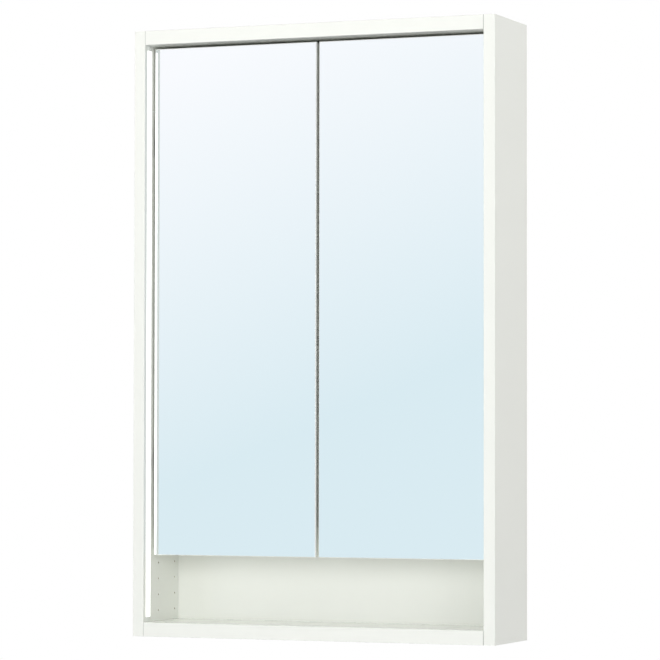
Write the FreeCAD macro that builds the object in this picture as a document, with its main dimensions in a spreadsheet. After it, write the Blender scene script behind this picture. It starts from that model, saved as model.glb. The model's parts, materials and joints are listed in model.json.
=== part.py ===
import FreeCAD, Part
import math
import os
import re

import Sketcher
from FreeCAD import Placement, Rotation, Vector

# A wall-hung mirror cabinet with two inset mirror doors, an open shelf below them and a light strip
# let into each side panel. Sizes are millimetres. A place is given as three distances from the
# cabinet's front lower left corner: across from the left, back from the front, up from the bottom.
# The finished part has its origin on the wall, midway between the two wall fixings.

SIZES = {
    # Carcass
    "cabinet_width": 600,
    "cabinet_depth": 150,
    "cabinet_height": 950,
    "side_thickness": 18,
    "cap_thickness": 22,
    "edge_radius": 0.8,
    "shelf_height": 156,
    "shelf_thickness": 18,
    "back_thickness": 3,
    "back_groove": 6,
    "groove_play": 0.5,
    "rail_thickness": 16,
    "rail_height": 80,
    "low_rail_height": 60,
    "fixing_spacing": 400,
    "fixing_diameter": 6.5,
    # Doors
    "door_recess": 28,
    "door_bottom": 126.5,
    "side_gap": 4.5,
    "centre_gap": 5,
    "top_gap": 4,
    "glass_thickness": 5,
    "glass_bevel": 1,
    "board_thickness": 12,
    "board_inset": 1,
    "buffer_length": 8,
    "buffer_diameter": 9,
    "buffer_inset": 30,
    # Hinges
    "hinge_inset": 150,
    "axis_inset": 12.5,
    "axis_depth": 9.5,
    "hinge_pin_diameter": 3,
    "running_gap": 0.05,
    "eye_diameter": 7,
    "arm_width": 9,
    "arm_thickness": 3,
    "arm_reach": 17,
    "arm_length": 43.5,
    "cup_length": 35,
    "cup_height": 36,
    "cup_cheek": 9,
    "slot_gap": 0.5,
    "flange_height": 54,
    "flange_thickness": 1.5,
    "plate_thickness": 2.5,
    "plate_length": 40,
    "plate_height": 40,
    "plate_offset": 7.5,
    # Small fasteners
    "screw_diameter": 3.5,
    "screw_length": 14,
    "head_diameter": 7,
    "head_height": 2.2,
    "dowel_diameter": 8,
    "dowel_length": 30,
    "dowel_depth": 12,
    "cam_diameter": 15,
    "cam_height": 15.5,
    "cam_bolt_diameter": 6,
    "cam_bolt_depth": 11,
    "cam_inset": 24,
    "cam_key_length": 8,
    "cam_key_width": 1.2,
    "cam_key_depth": 2.5,
    "fit_gap": 0.05,
    # Shelves and the pins that carry them
    "pin_diameter": 3,
    "pin_depth": 10,
    "pin_first_row": 38.5,
    "pin_pitch": 25,
    "pin_front_setback": 3,
    "pin_rear_setback": 14.3,
    "pin_shelf_clear": 14.5,
    "pin_head_diameter": 6,
    "pin_head_length": 8,
    "pin_flat": 2,
    "glass_shelf_thickness": 5,
    "glass_shelf_play": 1.5,
    "shelf_hinge_clear": 80,
    # Light strips
    "light_setback": 9,
    "light_width": 16.5,
    "light_depth": 10,
    "end_cap_length": 8,
    "profile_wall": 1.2,
    "diffuser_thickness": 1.5,
    "diffuser_leg": 3,
    "led_board_width": 10,
    "led_board_thickness": 1,
    "chip_width": 2.8,
    "chip_length": 3.5,
    "chip_height": 0.7,
    "chip_pitch": 16.7,
    # Wiring and driver
    "lead_diameter": 2.6,
    "lead_bend": 13,
    "lead_cover_thickness": 2,
    "clip_size": 8,
    "driver_width": 180,
    "driver_height": 40,
    "driver_depth": 15,
    "driver_gap": 2,
    "driver_wall": 1.5,
    "tab_size": 8,
    "rivet_diameter": 4,
    "gland_diameter": 11,
    "gland_bore": 6.4,
    "gland_length": 14,
    "terminal_pitch": 6.6,
}

# Places worked out from the sizes
INNER = "side_thickness"
FAR_INNER = "(cabinet_width - side_thickness)"
MIDDLE = "(cabinet_width / 2)"
ROOF = "(cabinet_height - cap_thickness)"
BACK = "(cabinet_depth - rail_thickness - back_thickness)"
REAR = "(cabinet_depth - rail_thickness)"
FIXING = f"({ROOF} - rail_height / 2)"
LOW_RAIL_MIDDLE = "(cap_thickness + low_rail_height / 2)"
SHELF_TOP = "(shelf_height + shelf_thickness)"
DOOR_TOP = f"({ROOF} - top_gap)"
GLASS_LEFT = "(side_thickness + side_gap)"
GLASS_RIGHT = "(cabinet_width / 2 - centre_gap / 2)"
GLASS_BACK = "(door_recess + glass_thickness)"
BOARD_BACK = f"({GLASS_BACK} + board_thickness)"
BOARD_LEFT = f"({GLASS_LEFT} + board_inset)"
SHELF_FRONT = f"({BOARD_BACK} + buffer_length)"
AXIS_ACROSS = f"({GLASS_LEFT} + axis_inset)"
AXIS_BACK = "(door_recess + axis_depth)"
HINGE_HEIGHTS = {"lower": "(door_bottom + hinge_inset)", "upper": f"({DOOR_TOP} - hinge_inset)"}
PIN_COLUMNS = (f"({SHELF_FRONT} + pin_front_setback)", f"({BACK} - pin_rear_setback)")
PIN_HIGH_START = f"({SHELF_TOP} + pin_shelf_clear)"
HIGHEST_PIN = f"({HINGE_HEIGHTS['upper']} - plate_height / 2 - shelf_hinge_clear)"
HIGH_ROW = f"floor(({HIGHEST_PIN} - {PIN_HIGH_START}) / pin_pitch)"
LOW_ROW = f"floor({HIGH_ROW} / 2)"
LIGHT_BOTTOM = "(cap_thickness + end_cap_length)"
LIGHT_TOP = f"({ROOF} - end_cap_length)"
LIGHT_REAR = "(light_setback + light_width)"
LIGHT_FLOOR = "(side_thickness - light_depth)"
LIGHT_MIDDLE = "(light_setback + light_width / 2)"
LEAD_HEIGHT = f"({ROOF} - rail_height - driver_gap - driver_height / 2)"
LEAD_ACROSS = f"({LIGHT_FLOOR} + profile_wall + led_board_thickness + lead_diameter / 2 + 4 * fit_gap)"
LEAD_BACK = f"({REAR} + rail_thickness / 2)"
DRIVER_LEFT = f"({MIDDLE} - driver_width / 2)"
DRIVER_RIGHT = f"({MIDDLE} + driver_width / 2)"
DRIVER_BOTTOM = f"({LEAD_HEIGHT} - driver_height / 2)"
DRIVER_TOP = f"({LEAD_HEIGHT} + driver_height / 2)"
LID_FRONT = f"({REAR} + driver_depth - driver_wall)"
CASE_FLOOR = f"({REAR} + driver_wall)"
BOARD_SEAT = f"({REAR} + 2 * driver_wall)"
RIVET_PLACES = [f"({MIDDLE} {sign} driver_width / 3)" for sign in "-+"]
RIVET_HEIGHT = f"({DRIVER_BOTTOM} - tab_size / 2)"
GLAND_ACROSS = f"({DRIVER_RIGHT} - 2 * gland_diameter)"
GLAND_BACK = f"(({CASE_FLOOR} + {LID_FRONT}) / 2)"
CAPACITOR_PLACES = [f"({MIDDLE} + driver_width * {share})" for share in (-0.3, 0.1, 0.18)]
BUFFER_PLACES = [f"({MIDDLE} {sign} buffer_inset)" for sign in "-+"]
BUFFER_HEIGHT = "(shelf_height + shelf_thickness / 2)"
CUP_SCREW_LENGTH = "(flange_thickness + 0.75 * board_thickness)"

doc = FreeCAD.newDocument("mirror_cabinet")
sheet = doc.addObject("Spreadsheet::Sheet", "Sizes")
for row, (word, number) in enumerate(SIZES.items(), start=1):
    sheet.set(f"A{row}", word)
    sheet.set(f"B{row}", str(number))
    sheet.setAlias(f"B{row}", word)
doc.recompute()

sub_parts = []


def bound(words):
    """The same sum with each size looked up in the sheet."""
    return re.sub(r"[a-z]+(?:_[a-z]+)+", r"Sizes.\g<0>", words)


def bind(thing, name, words):
    thing.setExpression(name, bound(words))


def place(thing, across, back, up):
    """Puts a thing's own origin at a place measured from the cabinet's front lower left corner."""
    bind(thing, "Placement.Base.x", f"({across}) - cabinet_width / 2")
    bind(thing, "Placement.Base.y", f"({back}) - cabinet_depth")
    bind(thing, "Placement.Base.z", f"({up}) - {FIXING}")


def keep(thing, label):
    """Marks a finished sub-part."""
    thing.Label = label
    sub_parts.append(thing)
    return thing


# Solids made of primitives

AXES = {"across": Vector(1, 0, 0), "back": Vector(0, 1, 0), "up": Vector(0, 0, 1)}


def block(name, low, high):
    solid = doc.addObject("Part::Box", name)
    for side, start, end in zip(("Length", "Width", "Height"), low, high):
        bind(solid, side, f"({end}) - ({start})")
    place(solid, *low)
    return solid


def rod(name, along, start, length, diameter):
    solid = doc.addObject("Part::Cylinder", name)
    bind(solid, "Radius", f"({diameter}) / 2")
    bind(solid, "Height", length)
    solid.Placement = Placement(Vector(), Rotation(AXES["up"], AXES[along]))
    place(solid, *start)
    return solid


def fused(name, pieces):
    solid = doc.addObject("Part::MultiFuse", name)
    solid.Shapes = pieces
    return solid


def grouped(name, pieces):
    """Separate solids kept together."""
    group = doc.addObject("Part::Compound", name)
    group.Links = pieces
    return group


def cut(name, base, tools):
    solid = doc.addObject("Part::Cut", name)
    solid.Base = base
    solid.Tool = grouped(name + "_cutters", tools)
    return solid


def mirrored(name, source):
    """The right-hand twin of a left-hand piece."""
    twin = doc.addObject("Part::Mirroring", name)
    twin.Source = source
    twin.Base = Vector(0, 0, 0)
    twin.Normal = AXES["across"]
    return twin


def keep_pair(thing, label):
    """Keeps a left-hand piece and its right-hand twin."""
    keep(thing, label)
    twin_label = label.replace("left_", "right_")
    return keep(mirrored(twin_label, thing), twin_label)


def keep_both_sides(label, pieces):
    """Keeps left-hand pieces and their right-hand twins as one group."""
    half = grouped(label + "_left_half", pieces)
    return keep(grouped(label, [half, mirrored(label + "_right_half", half)]), label)


# Solids made of sketches

def new_body(name, corner=("0", "0", "0")):
    body = doc.addObject("PartDesign::Body", name)
    place(body, *corner)
    return body


def drawing_on(body, role, offset="0"):
    drawing = body.newObject("Sketcher::SketchObject", body.Name + "_sketch")
    plane = next(part for part in body.Origin.OriginFeatures if part.Role == role)
    drawing.AttachmentSupport = [(plane, "")]
    drawing.MapMode = "FlatFace"
    bind(drawing, "AttachmentOffset.Base.z", offset)
    return drawing


def measure(drawing, constraint, words):
    index = drawing.addConstraint(constraint)
    bind(drawing, f"Constraints[{index}]", words)


def measure_point(drawing, shape, point, place_words):
    """Measures a point from the drawing's origin, starting from where it was drawn."""
    drawn = drawing.getPoint(shape, point)
    for kind, start, words in zip(("DistanceX", "DistanceY"), drawn, place_words):
        measure(drawing, Sketcher.Constraint(kind, -1, 1, shape, point, start), words)


def outline(drawing, points):
    """A closed outline of straight lines through measured points."""
    count = len(points)
    first = drawing.GeometryCount
    turn = Rotation(AXES["up"], 360 / count)
    start = Vector(100, 0, 0)
    for _ in points:
        end = turn.multVec(start)
        drawing.addGeometry(Part.LineSegment(start, end))
        start = end
    for index in range(count):
        following = first + (index + 1) % count
        drawing.addConstraint(Sketcher.Constraint("Coincident", first + index, 2, following, 1))
    for index, point in enumerate(points):
        measure_point(drawing, first + index, 1, point)


def rectangle(drawing, low, high):
    outline(drawing, [low, (high[0], low[1]), high, (low[0], high[1])])


def circle(drawing, centre, diameter):
    index = drawing.addGeometry(Part.Circle(Vector(1, 1, 0), AXES["up"], 1))
    measure_point(drawing, index, 3, centre)
    measure(drawing, Sketcher.Constraint("Diameter", index, 2.0), diameter)


def pad(body, drawing, length):
    feature = body.newObject("PartDesign::Pad", body.Name + "_pad")
    feature.Profile = drawing
    bind(feature, "Length", length)
    return feature


def pocket(body, drawing, depth):
    feature = body.newObject("PartDesign::Pocket", body.Name + "_pocket")
    feature.Profile = drawing
    bind(feature, "Length", depth)
    return feature


def pattern_up(body, feature, drawing, span, count):
    """Repeats a feature along the drawing's own upright axis."""
    pattern = body.newObject("PartDesign::LinearPattern", body.Name + "_pattern")
    pattern.Originals = [feature]
    pattern.Direction = (drawing, ["V_Axis"])
    bind(pattern, "Length", span)
    bind(pattern, "Occurrences", count)
    body.Tip = pattern
    return pattern


def dress_front(body, base, kind, along, size_name, size):
    """Rounds or bevels the front edges that run one way."""
    doc.recompute()
    tolerance = 0.001
    front = base.Shape.BoundBox.YMin
    chosen = []
    for index, edge in enumerate(base.Shape.Edges, start=1):
        on_front = abs(edge.BoundBox.YMax - front) < tolerance
        course = edge.tangentAt(edge.FirstParameter)
        if on_front and any(course.cross(AXES[way]).Length < tolerance for way in along):
            chosen.append(f"Edge{index}")
    feature = body.newObject(kind, body.Name + "_edges")
    feature.Base = (base, chosen)
    bind(feature, size_name, size)
    return feature


# Carcass

def side_holes(body, centres, diameter, depth):
    """Holes bored square into the inner face of the side panel."""
    drawing = drawing_on(body, "YZ_Plane", INNER)
    for centre in centres:
        circle(drawing, centre, diameter)
    return pocket(body, drawing, depth), drawing


def dowel_places():
    """Depth and height of each dowel between the left side panel and the pieces it carries."""
    depths = {"cap": ("(door_recess + dowel_diameter)", f"({BACK} - 1.5 * dowel_diameter)"),
              "shelf": (f"({SHELF_FRONT} + 1.5 * dowel_diameter)", f"({BACK} - 1.5 * dowel_diameter)")}
    levels = {"cap": ("cap_thickness / 2", f"{ROOF} + cap_thickness / 2"),
              "shelf": ("shelf_height + shelf_thickness / 2",)}
    boards = [(depth, level) for kind in depths for depth in depths[kind] for level in levels[kind]]
    rail_middle = f"({REAR} + rail_thickness / 2)"
    quarters = [f"{FIXING} {sign} rail_height / 4" for sign in "+-"]
    quarters += [f"{LOW_RAIL_MIDDLE} {sign} low_rail_height / 4" for sign in "+-"]
    return boards + [(rail_middle, level) for level in quarters]


def cam_places():
    """Depth and height of each cam bolt, and the level of the face that its cam is let into."""
    cap_depth = "(cabinet_depth / 2)"
    shelf_depth = f"(({SHELF_FRONT} + {BACK}) / 2)"
    return [(cap_depth, "cap_thickness / 2", "0", 1),
            (cap_depth, f"{ROOF} + cap_thickness / 2", "cabinet_height", -1),
            (shelf_depth, "shelf_height + shelf_thickness / 2", "shelf_height", 1)]


def plate_screw_places():
    depth = f"({AXIS_BACK} + arm_reach + plate_offset + plate_length / 2)"
    return [(depth, f"{height} {sign} (plate_height / 2 - 0.8 * head_diameter)")
            for height in HINGE_HEIGHTS.values() for sign in "+-"]


def make_side_panel():
    body = new_body("left_side_panel")
    base = drawing_on(body, "XY_Plane")
    rectangle(base, ("0", "0"), (INNER, "cabinet_depth"))
    blank = pad(body, base, "cabinet_height")
    dress_front(body, blank, "PartDesign::Fillet", ["up"], "Radius", "edge_radius")

    grooves = ((("light_setback", "cap_thickness"), (LIGHT_REAR, ROOF), "light_depth"),
               ((BACK, "0"), (REAR, "cabinet_height"), "back_groove + groove_play"),
               ((LIGHT_REAR, f"{LEAD_HEIGHT} - lead_diameter / 2 - 4 * fit_gap"),
                ("cabinet_depth", f"{LEAD_HEIGHT} + lead_diameter / 2 + 4 * fit_gap"),
                f"side_thickness - {LEAD_ACROSS} + lead_diameter / 2"))
    for low, high, depth in grooves:
        drawing = drawing_on(body, "YZ_Plane", INNER)
        rectangle(drawing, low, high)
        pocket(body, drawing, depth)

    side_holes(body, dowel_places(), "dowel_diameter + 2 * fit_gap", "dowel_depth")
    bolts = [(depth, level) for depth, level, _, _ in cam_places()]
    side_holes(body, bolts, "cam_bolt_diameter + 2 * fit_gap", "cam_bolt_depth")
    side_holes(body, plate_screw_places(), "screw_diameter + 2 * fit_gap",
               "screw_length - plate_thickness")

    rows = (("pin_first_row", "shelf_height"), (PIN_HIGH_START, f"({ROOF} - pin_pitch)"))
    for start, end in rows:
        holes, drawing = side_holes(body, [(column, start) for column in PIN_COLUMNS],
                                    "pin_diameter", "pin_depth")
        count = f"(floor(({end} - {start} - pin_diameter) / pin_pitch) + 1)"
        pattern_up(body, holes, drawing, f"({count} - 1) * pin_pitch", count)
    keep_pair(body, "left_side_panel")


def joint_holes(name, levels_of_dowels, cams):
    """The dowel holes, bolt holes and cam seats at the left end of a board, and their twins."""
    tools = []
    for index, (depth, level) in enumerate(levels_of_dowels):
        tools.append(rod(f"{name}_dowel_hole_{index}", "across", (INNER, depth, level),
                         "dowel_length - dowel_depth + 4 * fit_gap", "dowel_diameter + 2 * fit_gap"))
    for index, (depth, level, face, way) in enumerate(cams):
        seat = fused(f"{name}_cam_seat_{index}", [
            rod(f"{name}_bolt_hole_{index}", "across", (INNER, depth, level), "cam_inset",
                "cam_bolt_diameter + 2 * fit_gap"),
            rod(f"{name}_cam_hole_{index}", "up",
                (f"{INNER} + cam_inset", depth, face if way > 0 else f"{face} - cam_height - 4 * fit_gap"),
                "cam_height + 4 * fit_gap", "cam_diameter + 2 * fit_gap")])
        tools.append(seat)
    half = grouped(name + "_left_holes", tools)
    return [half, mirrored(name + "_right_holes", half)]


def level_board(name, low, high):
    """A board across the cabinet with its front edges eased."""
    body = new_body(name + "_board", (low[0], "0", "0"))
    drawing = drawing_on(body, "YZ_Plane")
    rectangle(drawing, low[1:], high[1:])
    blank = pad(body, drawing, f"{high[0]} - {low[0]}")
    dress_front(body, blank, "PartDesign::Fillet", ["across"], "Radius", "edge_radius")
    return body


def make_level_boards():
    dowels = dowel_places()
    cams = cam_places()
    boards = (
        ("bottom_panel", "0", "cap_thickness", "0", "cabinet_depth", (0, 2), cams[0]),
        ("top_panel", ROOF, "cabinet_height", "0", "cabinet_depth", (1, 3), cams[1]),
        ("fixed_shelf", "shelf_height", SHELF_TOP, SHELF_FRONT, BACK, (4, 5), cams[2]),
    )
    for name, bottom, top, front, rear, dowel_numbers, cam in boards:
        body = level_board(name, (INNER, front, bottom), (FAR_INNER, rear, top))
        tools = joint_holes(name, [dowels[number] for number in dowel_numbers], [cam])
        if name == "fixed_shelf":
            tools += [rod(f"buffer_hole_{index}", "back", (across, SHELF_FRONT, BUFFER_HEIGHT),
                          "buffer_length", "buffer_diameter / 2 + 2 * fit_gap")
                      for index, across in enumerate(BUFFER_PLACES)]
        else:
            groove = {"bottom_panel": ("cap_thickness - back_groove - groove_play", "cap_thickness"),
                      "top_panel": (ROOF, f"{ROOF} + back_groove + groove_play")}[name]
            tools.append(block(name + "_groove", (INNER, BACK, groove[0]), (FAR_INNER, REAR, groove[1])))
        keep(cut(name, body, tools), name)


def fixing_holes(name, front, length):
    """The two wall fixing holes, through the back panel or through the rail behind it."""
    return [rod(f"{name}_fixing_{side}", "back", (f"{MIDDLE} {sign} fixing_spacing / 2", front, FIXING),
                length, "fixing_diameter")
            for side, sign in (("left", "-"), ("right", "+"))]


def make_rails():
    dowels = dowel_places()
    rails = (("hanging_rail", f"{ROOF} - rail_height", ROOF, (6, 7)),
             ("low_rail", "cap_thickness", "cap_thickness + low_rail_height", (8, 9)))
    for name, bottom, top, dowel_numbers in rails:
        blank = block(name + "_blank", (INNER, REAR, bottom), (FAR_INNER, "cabinet_depth", top))
        tools = joint_holes(name, [dowels[number] for number in dowel_numbers], [])
        if name == "hanging_rail":
            tools += fixing_holes(name, REAR, "rail_thickness")
        keep(cut(name, blank, tools), name)


def make_back_panel():
    blank = block("back_blank", (f"{INNER} - back_groove", BACK, "cap_thickness - back_groove"),
                  (f"{FAR_INNER} + back_groove", REAR, f"{ROOF} + back_groove"))
    notch = block("lead_notch", (f"{INNER} - back_groove", BACK, f"{LEAD_HEIGHT} - lead_diameter"),
                  (f"{INNER} + lead_diameter", REAR, f"{LEAD_HEIGHT} + lead_diameter"))
    tools = [notch, mirrored("right_lead_notch", notch)]
    tools += fixing_holes("back_panel", BACK, "back_thickness")
    tools += [rod(f"back_rivet_hole_{index}", "back", (across, BACK, RIVET_HEIGHT), "back_thickness",
                  "rivet_diameter + 2 * fit_gap") for index, across in enumerate(RIVET_PLACES)]
    keep(cut("back_panel", blank, tools), "back_panel")


def make_joint_fittings():
    dowels = [rod(f"dowel_{index}", "across", (f"{INNER} - dowel_depth + 2 * fit_gap", depth, level),
                  "dowel_length", "dowel_diameter")
              for index, (depth, level) in enumerate(dowel_places())]
    keep_both_sides("dowels", dowels)

    bolts = []
    cams = []
    for index, (depth, level, face, way) in enumerate(cam_places()):
        bolts.append(rod(f"cam_bolt_{index}", "across", (f"{INNER} - cam_bolt_depth", depth, level),
                         "cam_bolt_depth + cam_inset - fit_gap", "cam_bolt_diameter"))
        start = f"{face} + 4 * fit_gap" if way > 0 else f"{face} - cam_height - 4 * fit_gap"
        disc = rod(f"cam_disc_{index}", "up", (f"{INNER} + cam_inset", depth, start), "cam_height",
                   "cam_diameter")
        throat = rod(f"cam_throat_{index}", "across", (f"{INNER} + cam_inset - cam_diameter", depth, level),
                     "cam_diameter", "cam_bolt_diameter + 2 * fit_gap")
        key = block(f"cam_key_{index}",
                    (f"{INNER} + cam_inset - cam_key_length / 2", f"{depth} - cam_key_width / 2",
                     f"{face} - cam_key_depth"),
                    (f"{INNER} + cam_inset + cam_key_length / 2", f"{depth} + cam_key_width / 2",
                     f"{face} + cam_key_depth"))
        cams.append(cut(f"cam_{index}", disc, [throat, key]))
    keep_both_sides("cam_bolts", bolts)
    keep_both_sides("cam_nuts", cams)


# Glass shelves and their pins

def make_glass_shelves():
    pins = []
    for name, row in (("low_glass_shelf", LOW_ROW), ("high_glass_shelf", HIGH_ROW)):
        level = f"({PIN_HIGH_START} + {row} * pin_pitch)"
        underside = f"{level} + pin_flat"
        body = new_body(name, ("0", "0", underside))
        drawing = drawing_on(body, "XY_Plane")
        rectangle(drawing, (f"{INNER} + glass_shelf_play", f"{SHELF_FRONT} + glass_shelf_play"),
                  (f"{FAR_INNER} - glass_shelf_play", f"{BACK} - glass_shelf_play"))
        sheet_of_glass = pad(body, drawing, "glass_shelf_thickness")
        dress_front(body, sheet_of_glass, "PartDesign::Chamfer", ["across"], "Size", "glass_bevel / 2")
        keep(body, name)
        for index, column in enumerate(PIN_COLUMNS):
            pins.append(shelf_pin(f"{name}_pin_{index}", column, level))
    keep_both_sides("shelf_pins", pins)


def shelf_pin(name, column, level):
    shank = rod(name + "_shank", "across", (f"{INNER} - pin_depth + 4 * fit_gap", column, level),
                "pin_depth", "pin_diameter - 2 * fit_gap")
    head = rod(name + "_head", "across", (INNER, column, level), "pin_head_length", "pin_head_diameter")
    flat = block(name + "_flat", (INNER, f"{column} - pin_head_diameter", f"{level} + pin_flat"),
                 (f"{INNER} + pin_head_length", f"{column} + pin_head_diameter",
                  f"{level} + pin_head_diameter"))
    return cut(name, fused(name + "_blank", [shank, head]), [flat])


# Light strips

def make_profile():
    body = new_body("profile_section", ("0", "0", LIGHT_BOTTOM))
    drawing = drawing_on(body, "XY_Plane")
    brim = "side_thickness - diffuser_thickness"
    floor_top = f"{LIGHT_FLOOR} + profile_wall"
    outline(drawing, [(LIGHT_FLOOR, "light_setback"), (brim, "light_setback"),
                      (brim, "light_setback + profile_wall"), (floor_top, "light_setback + profile_wall"),
                      (floor_top, f"{LIGHT_REAR} - profile_wall"), (brim, f"{LIGHT_REAR} - profile_wall"),
                      (brim, LIGHT_REAR), (LIGHT_FLOOR, LIGHT_REAR)])
    pad(body, drawing, f"{LIGHT_TOP} - {LIGHT_BOTTOM}")
    hole = rod("profile_lead_hole", "back", (LEAD_ACROSS, f"{LIGHT_REAR} - profile_wall", LEAD_HEIGHT),
               "profile_wall", "lead_diameter + 2 * fit_gap")
    keep_pair(cut("left_profile", body, [hole]), "left_led_profile")


def make_diffuser():
    body = new_body("left_diffuser", ("0", "0", LIGHT_BOTTOM))
    drawing = drawing_on(body, "XY_Plane")
    face_back = "side_thickness - diffuser_thickness"
    leg_end = f"{face_back} - diffuser_leg"
    near = ("light_setback + profile_wall + fit_gap", "light_setback + 2 * profile_wall")
    far = (f"{LIGHT_REAR} - 2 * profile_wall", f"{LIGHT_REAR} - profile_wall - fit_gap")
    outline(drawing, [(INNER, "light_setback"), (INNER, LIGHT_REAR), (face_back, LIGHT_REAR),
                      (face_back, far[1]), (leg_end, far[1]), (leg_end, far[0]), (face_back, far[0]),
                      (face_back, near[1]), (leg_end, near[1]), (leg_end, near[0]), (face_back, near[0]),
                      (face_back, "light_setback")])
    pad(body, drawing, f"{LIGHT_TOP} - {LIGHT_BOTTOM}")
    keep_pair(body, "left_diffuser")


def make_led_boards():
    face = f"{LIGHT_FLOOR} + profile_wall"
    board = block("led_board", (face, f"{LIGHT_MIDDLE} - led_board_width / 2", LIGHT_BOTTOM),
                  (f"{face} + led_board_thickness", f"{LIGHT_MIDDLE} + led_board_width / 2", LIGHT_TOP))
    keep_pair(board, "left_led_board")

    across = sheet.side_thickness - sheet.light_depth + sheet.profile_wall + sheet.led_board_thickness
    back = sheet.light_setback + sheet.light_width / 2 - sheet.chip_width / 2
    bottom = sheet.cap_thickness + sheet.end_cap_length
    length = sheet.cabinet_height - sheet.cap_thickness - sheet.end_cap_length - bottom
    count = int(length / sheet.chip_pitch)
    first = bottom + (length - (count - 1) * sheet.chip_pitch - sheet.chip_length) / 2
    chips = [Part.makeBox(sheet.chip_height, sheet.chip_width, sheet.chip_length,
                          Vector(across, back, first + index * sheet.chip_pitch))
             for index in range(count)]
    row_of_chips = doc.addObject("Part::Feature", "led_chips")
    row_of_chips.Shape = Part.makeCompound(chips)
    place(row_of_chips, "0", "0", "0")
    keep_pair(row_of_chips, "left_led_chips")


def make_end_caps():
    ends = (("bottom", "cap_thickness", LIGHT_BOTTOM), ("top", LIGHT_TOP, ROOF))
    caps = [block(f"{end}_end_cap", (LIGHT_FLOOR, "light_setback", low), (INNER, LIGHT_REAR, high))
            for end, low, high in ends]
    keep_both_sides("led_end_caps", caps)


# Wiring and driver

def make_leads():
    """The lead lies in the side panel's channel, turns behind the back panel and runs to the driver."""
    body = new_body("left_led_lead", ("0", "0", LEAD_HEIGHT))
    route = drawing_on(body, "XY_Plane")
    bend_start = f"{LEAD_BACK} - lead_bend"
    bend_end = f"{LEAD_ACROSS} + lead_bend"
    strip_end = f"{LIGHT_MIDDLE} + chip_width"
    start, corner, end = Vector(0, 0, 0), Vector(0, 10, 0), Vector(20, 11, 0)
    centre = corner + AXES["across"]
    runs = [Part.LineSegment(start, corner),
            Part.ArcOfCircle(Part.Circle(centre, AXES["up"], 1), math.pi / 2, math.pi),
            Part.LineSegment(centre + AXES["back"], end)]
    for run in runs:
        route.addGeometry(run)
    route.addConstraint(Sketcher.Constraint("Coincident", 0, 2, 1, 2))
    route.addConstraint(Sketcher.Constraint("Coincident", 1, 1, 2, 1))
    measure_point(route, 0, 1, (LEAD_ACROSS, strip_end))
    measure_point(route, 0, 2, (LEAD_ACROSS, bend_start))
    bend_centre = route.getPoint(1, 3)
    measure(route, Sketcher.Constraint("DistanceX", -1, 1, 1, 3, bend_centre.x), bend_end)
    measure_point(route, 2, 1, (bend_end, LEAD_BACK))
    measure_point(route, 2, 2, (f"{DRIVER_LEFT} + 2 * driver_wall", LEAD_BACK))
    section = drawing_on(body, "XZ_Plane", f"-({strip_end})")
    circle(section, (LEAD_ACROSS, "0"), "lead_diameter")
    pipe = body.newObject("PartDesign::AdditivePipe", "lead_pipe")
    pipe.Profile = section
    pipe.Spine = (route, ["Edge1", "Edge2", "Edge3"])
    keep_pair(body, "left_led_lead")

    cover = block("lead_cover", (f"{INNER} - lead_cover_thickness", LIGHT_REAR,
                                 f"{LEAD_HEIGHT} - lead_diameter / 2 - 4 * fit_gap"),
                  (INNER, BACK, f"{LEAD_HEIGHT} + lead_diameter / 2 + 4 * fit_gap"))
    keep_pair(cover, "left_lead_cover")

    clips = []
    for index in (1, 2):
        across = f"({INNER} + ({DRIVER_LEFT} - {INNER}) * {index} / 3)"
        blank = block(f"clip_blank_{index}",
                      (f"{across} - clip_size / 2", REAR, f"{LEAD_HEIGHT} - clip_size / 2"),
                      (f"{across} + clip_size / 2", f"{LEAD_BACK} + lead_diameter",
                       f"{LEAD_HEIGHT} + clip_size / 2"))
        hole = rod(f"clip_hole_{index}", "across", (f"{across} - clip_size", LEAD_BACK, LEAD_HEIGHT),
                   "2 * clip_size", "lead_diameter + 2 * fit_gap")
        clips.append(cut(f"clip_{index}", blank, [hole]))
    keep_both_sides("lead_clips", clips)


def make_driver_case():
    shell = block("case_shell", (DRIVER_LEFT, REAR, DRIVER_BOTTOM), (DRIVER_RIGHT, LID_FRONT, DRIVER_TOP))
    tabs = [block(f"case_tab_{index}", (f"{across} - tab_size", REAR, f"{DRIVER_BOTTOM} - tab_size"),
                  (f"{across} + tab_size", CASE_FLOOR, DRIVER_BOTTOM))
            for index, across in enumerate(RIVET_PLACES)]
    hollow = block("case_hollow",
                   (f"{DRIVER_LEFT} + driver_wall", CASE_FLOOR, f"{DRIVER_BOTTOM} + driver_wall"),
                   (f"{DRIVER_RIGHT} - driver_wall", LID_FRONT, f"{DRIVER_TOP} - driver_wall"))
    lead_hole = rod("case_lead_hole", "across", (DRIVER_LEFT, LEAD_BACK, LEAD_HEIGHT), "driver_wall",
                    "lead_diameter + 2 * fit_gap")
    tools = [hollow, lead_hole, mirrored("case_right_lead_hole", lead_hole)]
    tools += [rod(f"tab_hole_{index}", "back", (across, REAR, RIVET_HEIGHT), "driver_wall",
                  "rivet_diameter + 2 * fit_gap") for index, across in enumerate(RIVET_PLACES)]
    tools.append(rod("gland_hole", "up", (GLAND_ACROSS, GLAND_BACK, DRIVER_BOTTOM), "driver_wall",
                     "gland_bore + 3 * driver_wall / 2 + 2 * fit_gap"))
    walls = cut("case_walls", fused("case_blank", [shell] + tabs), tools)
    posts = [rod(f"case_post_{index}", "back", (f"{MIDDLE} {sign} driver_width / 4", CASE_FLOOR, LEAD_HEIGHT),
                 f"{BOARD_SEAT} - {CASE_FLOOR}", "rivet_diameter") for index, sign in enumerate("-+")]
    keep(fused("driver_case", [walls] + posts), "driver_case")

    lid = block("driver_lid", (DRIVER_LEFT, LID_FRONT, DRIVER_BOTTOM),
                (DRIVER_RIGHT, f"{LID_FRONT} + driver_wall", DRIVER_TOP))
    keep(lid, "driver_lid")


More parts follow.
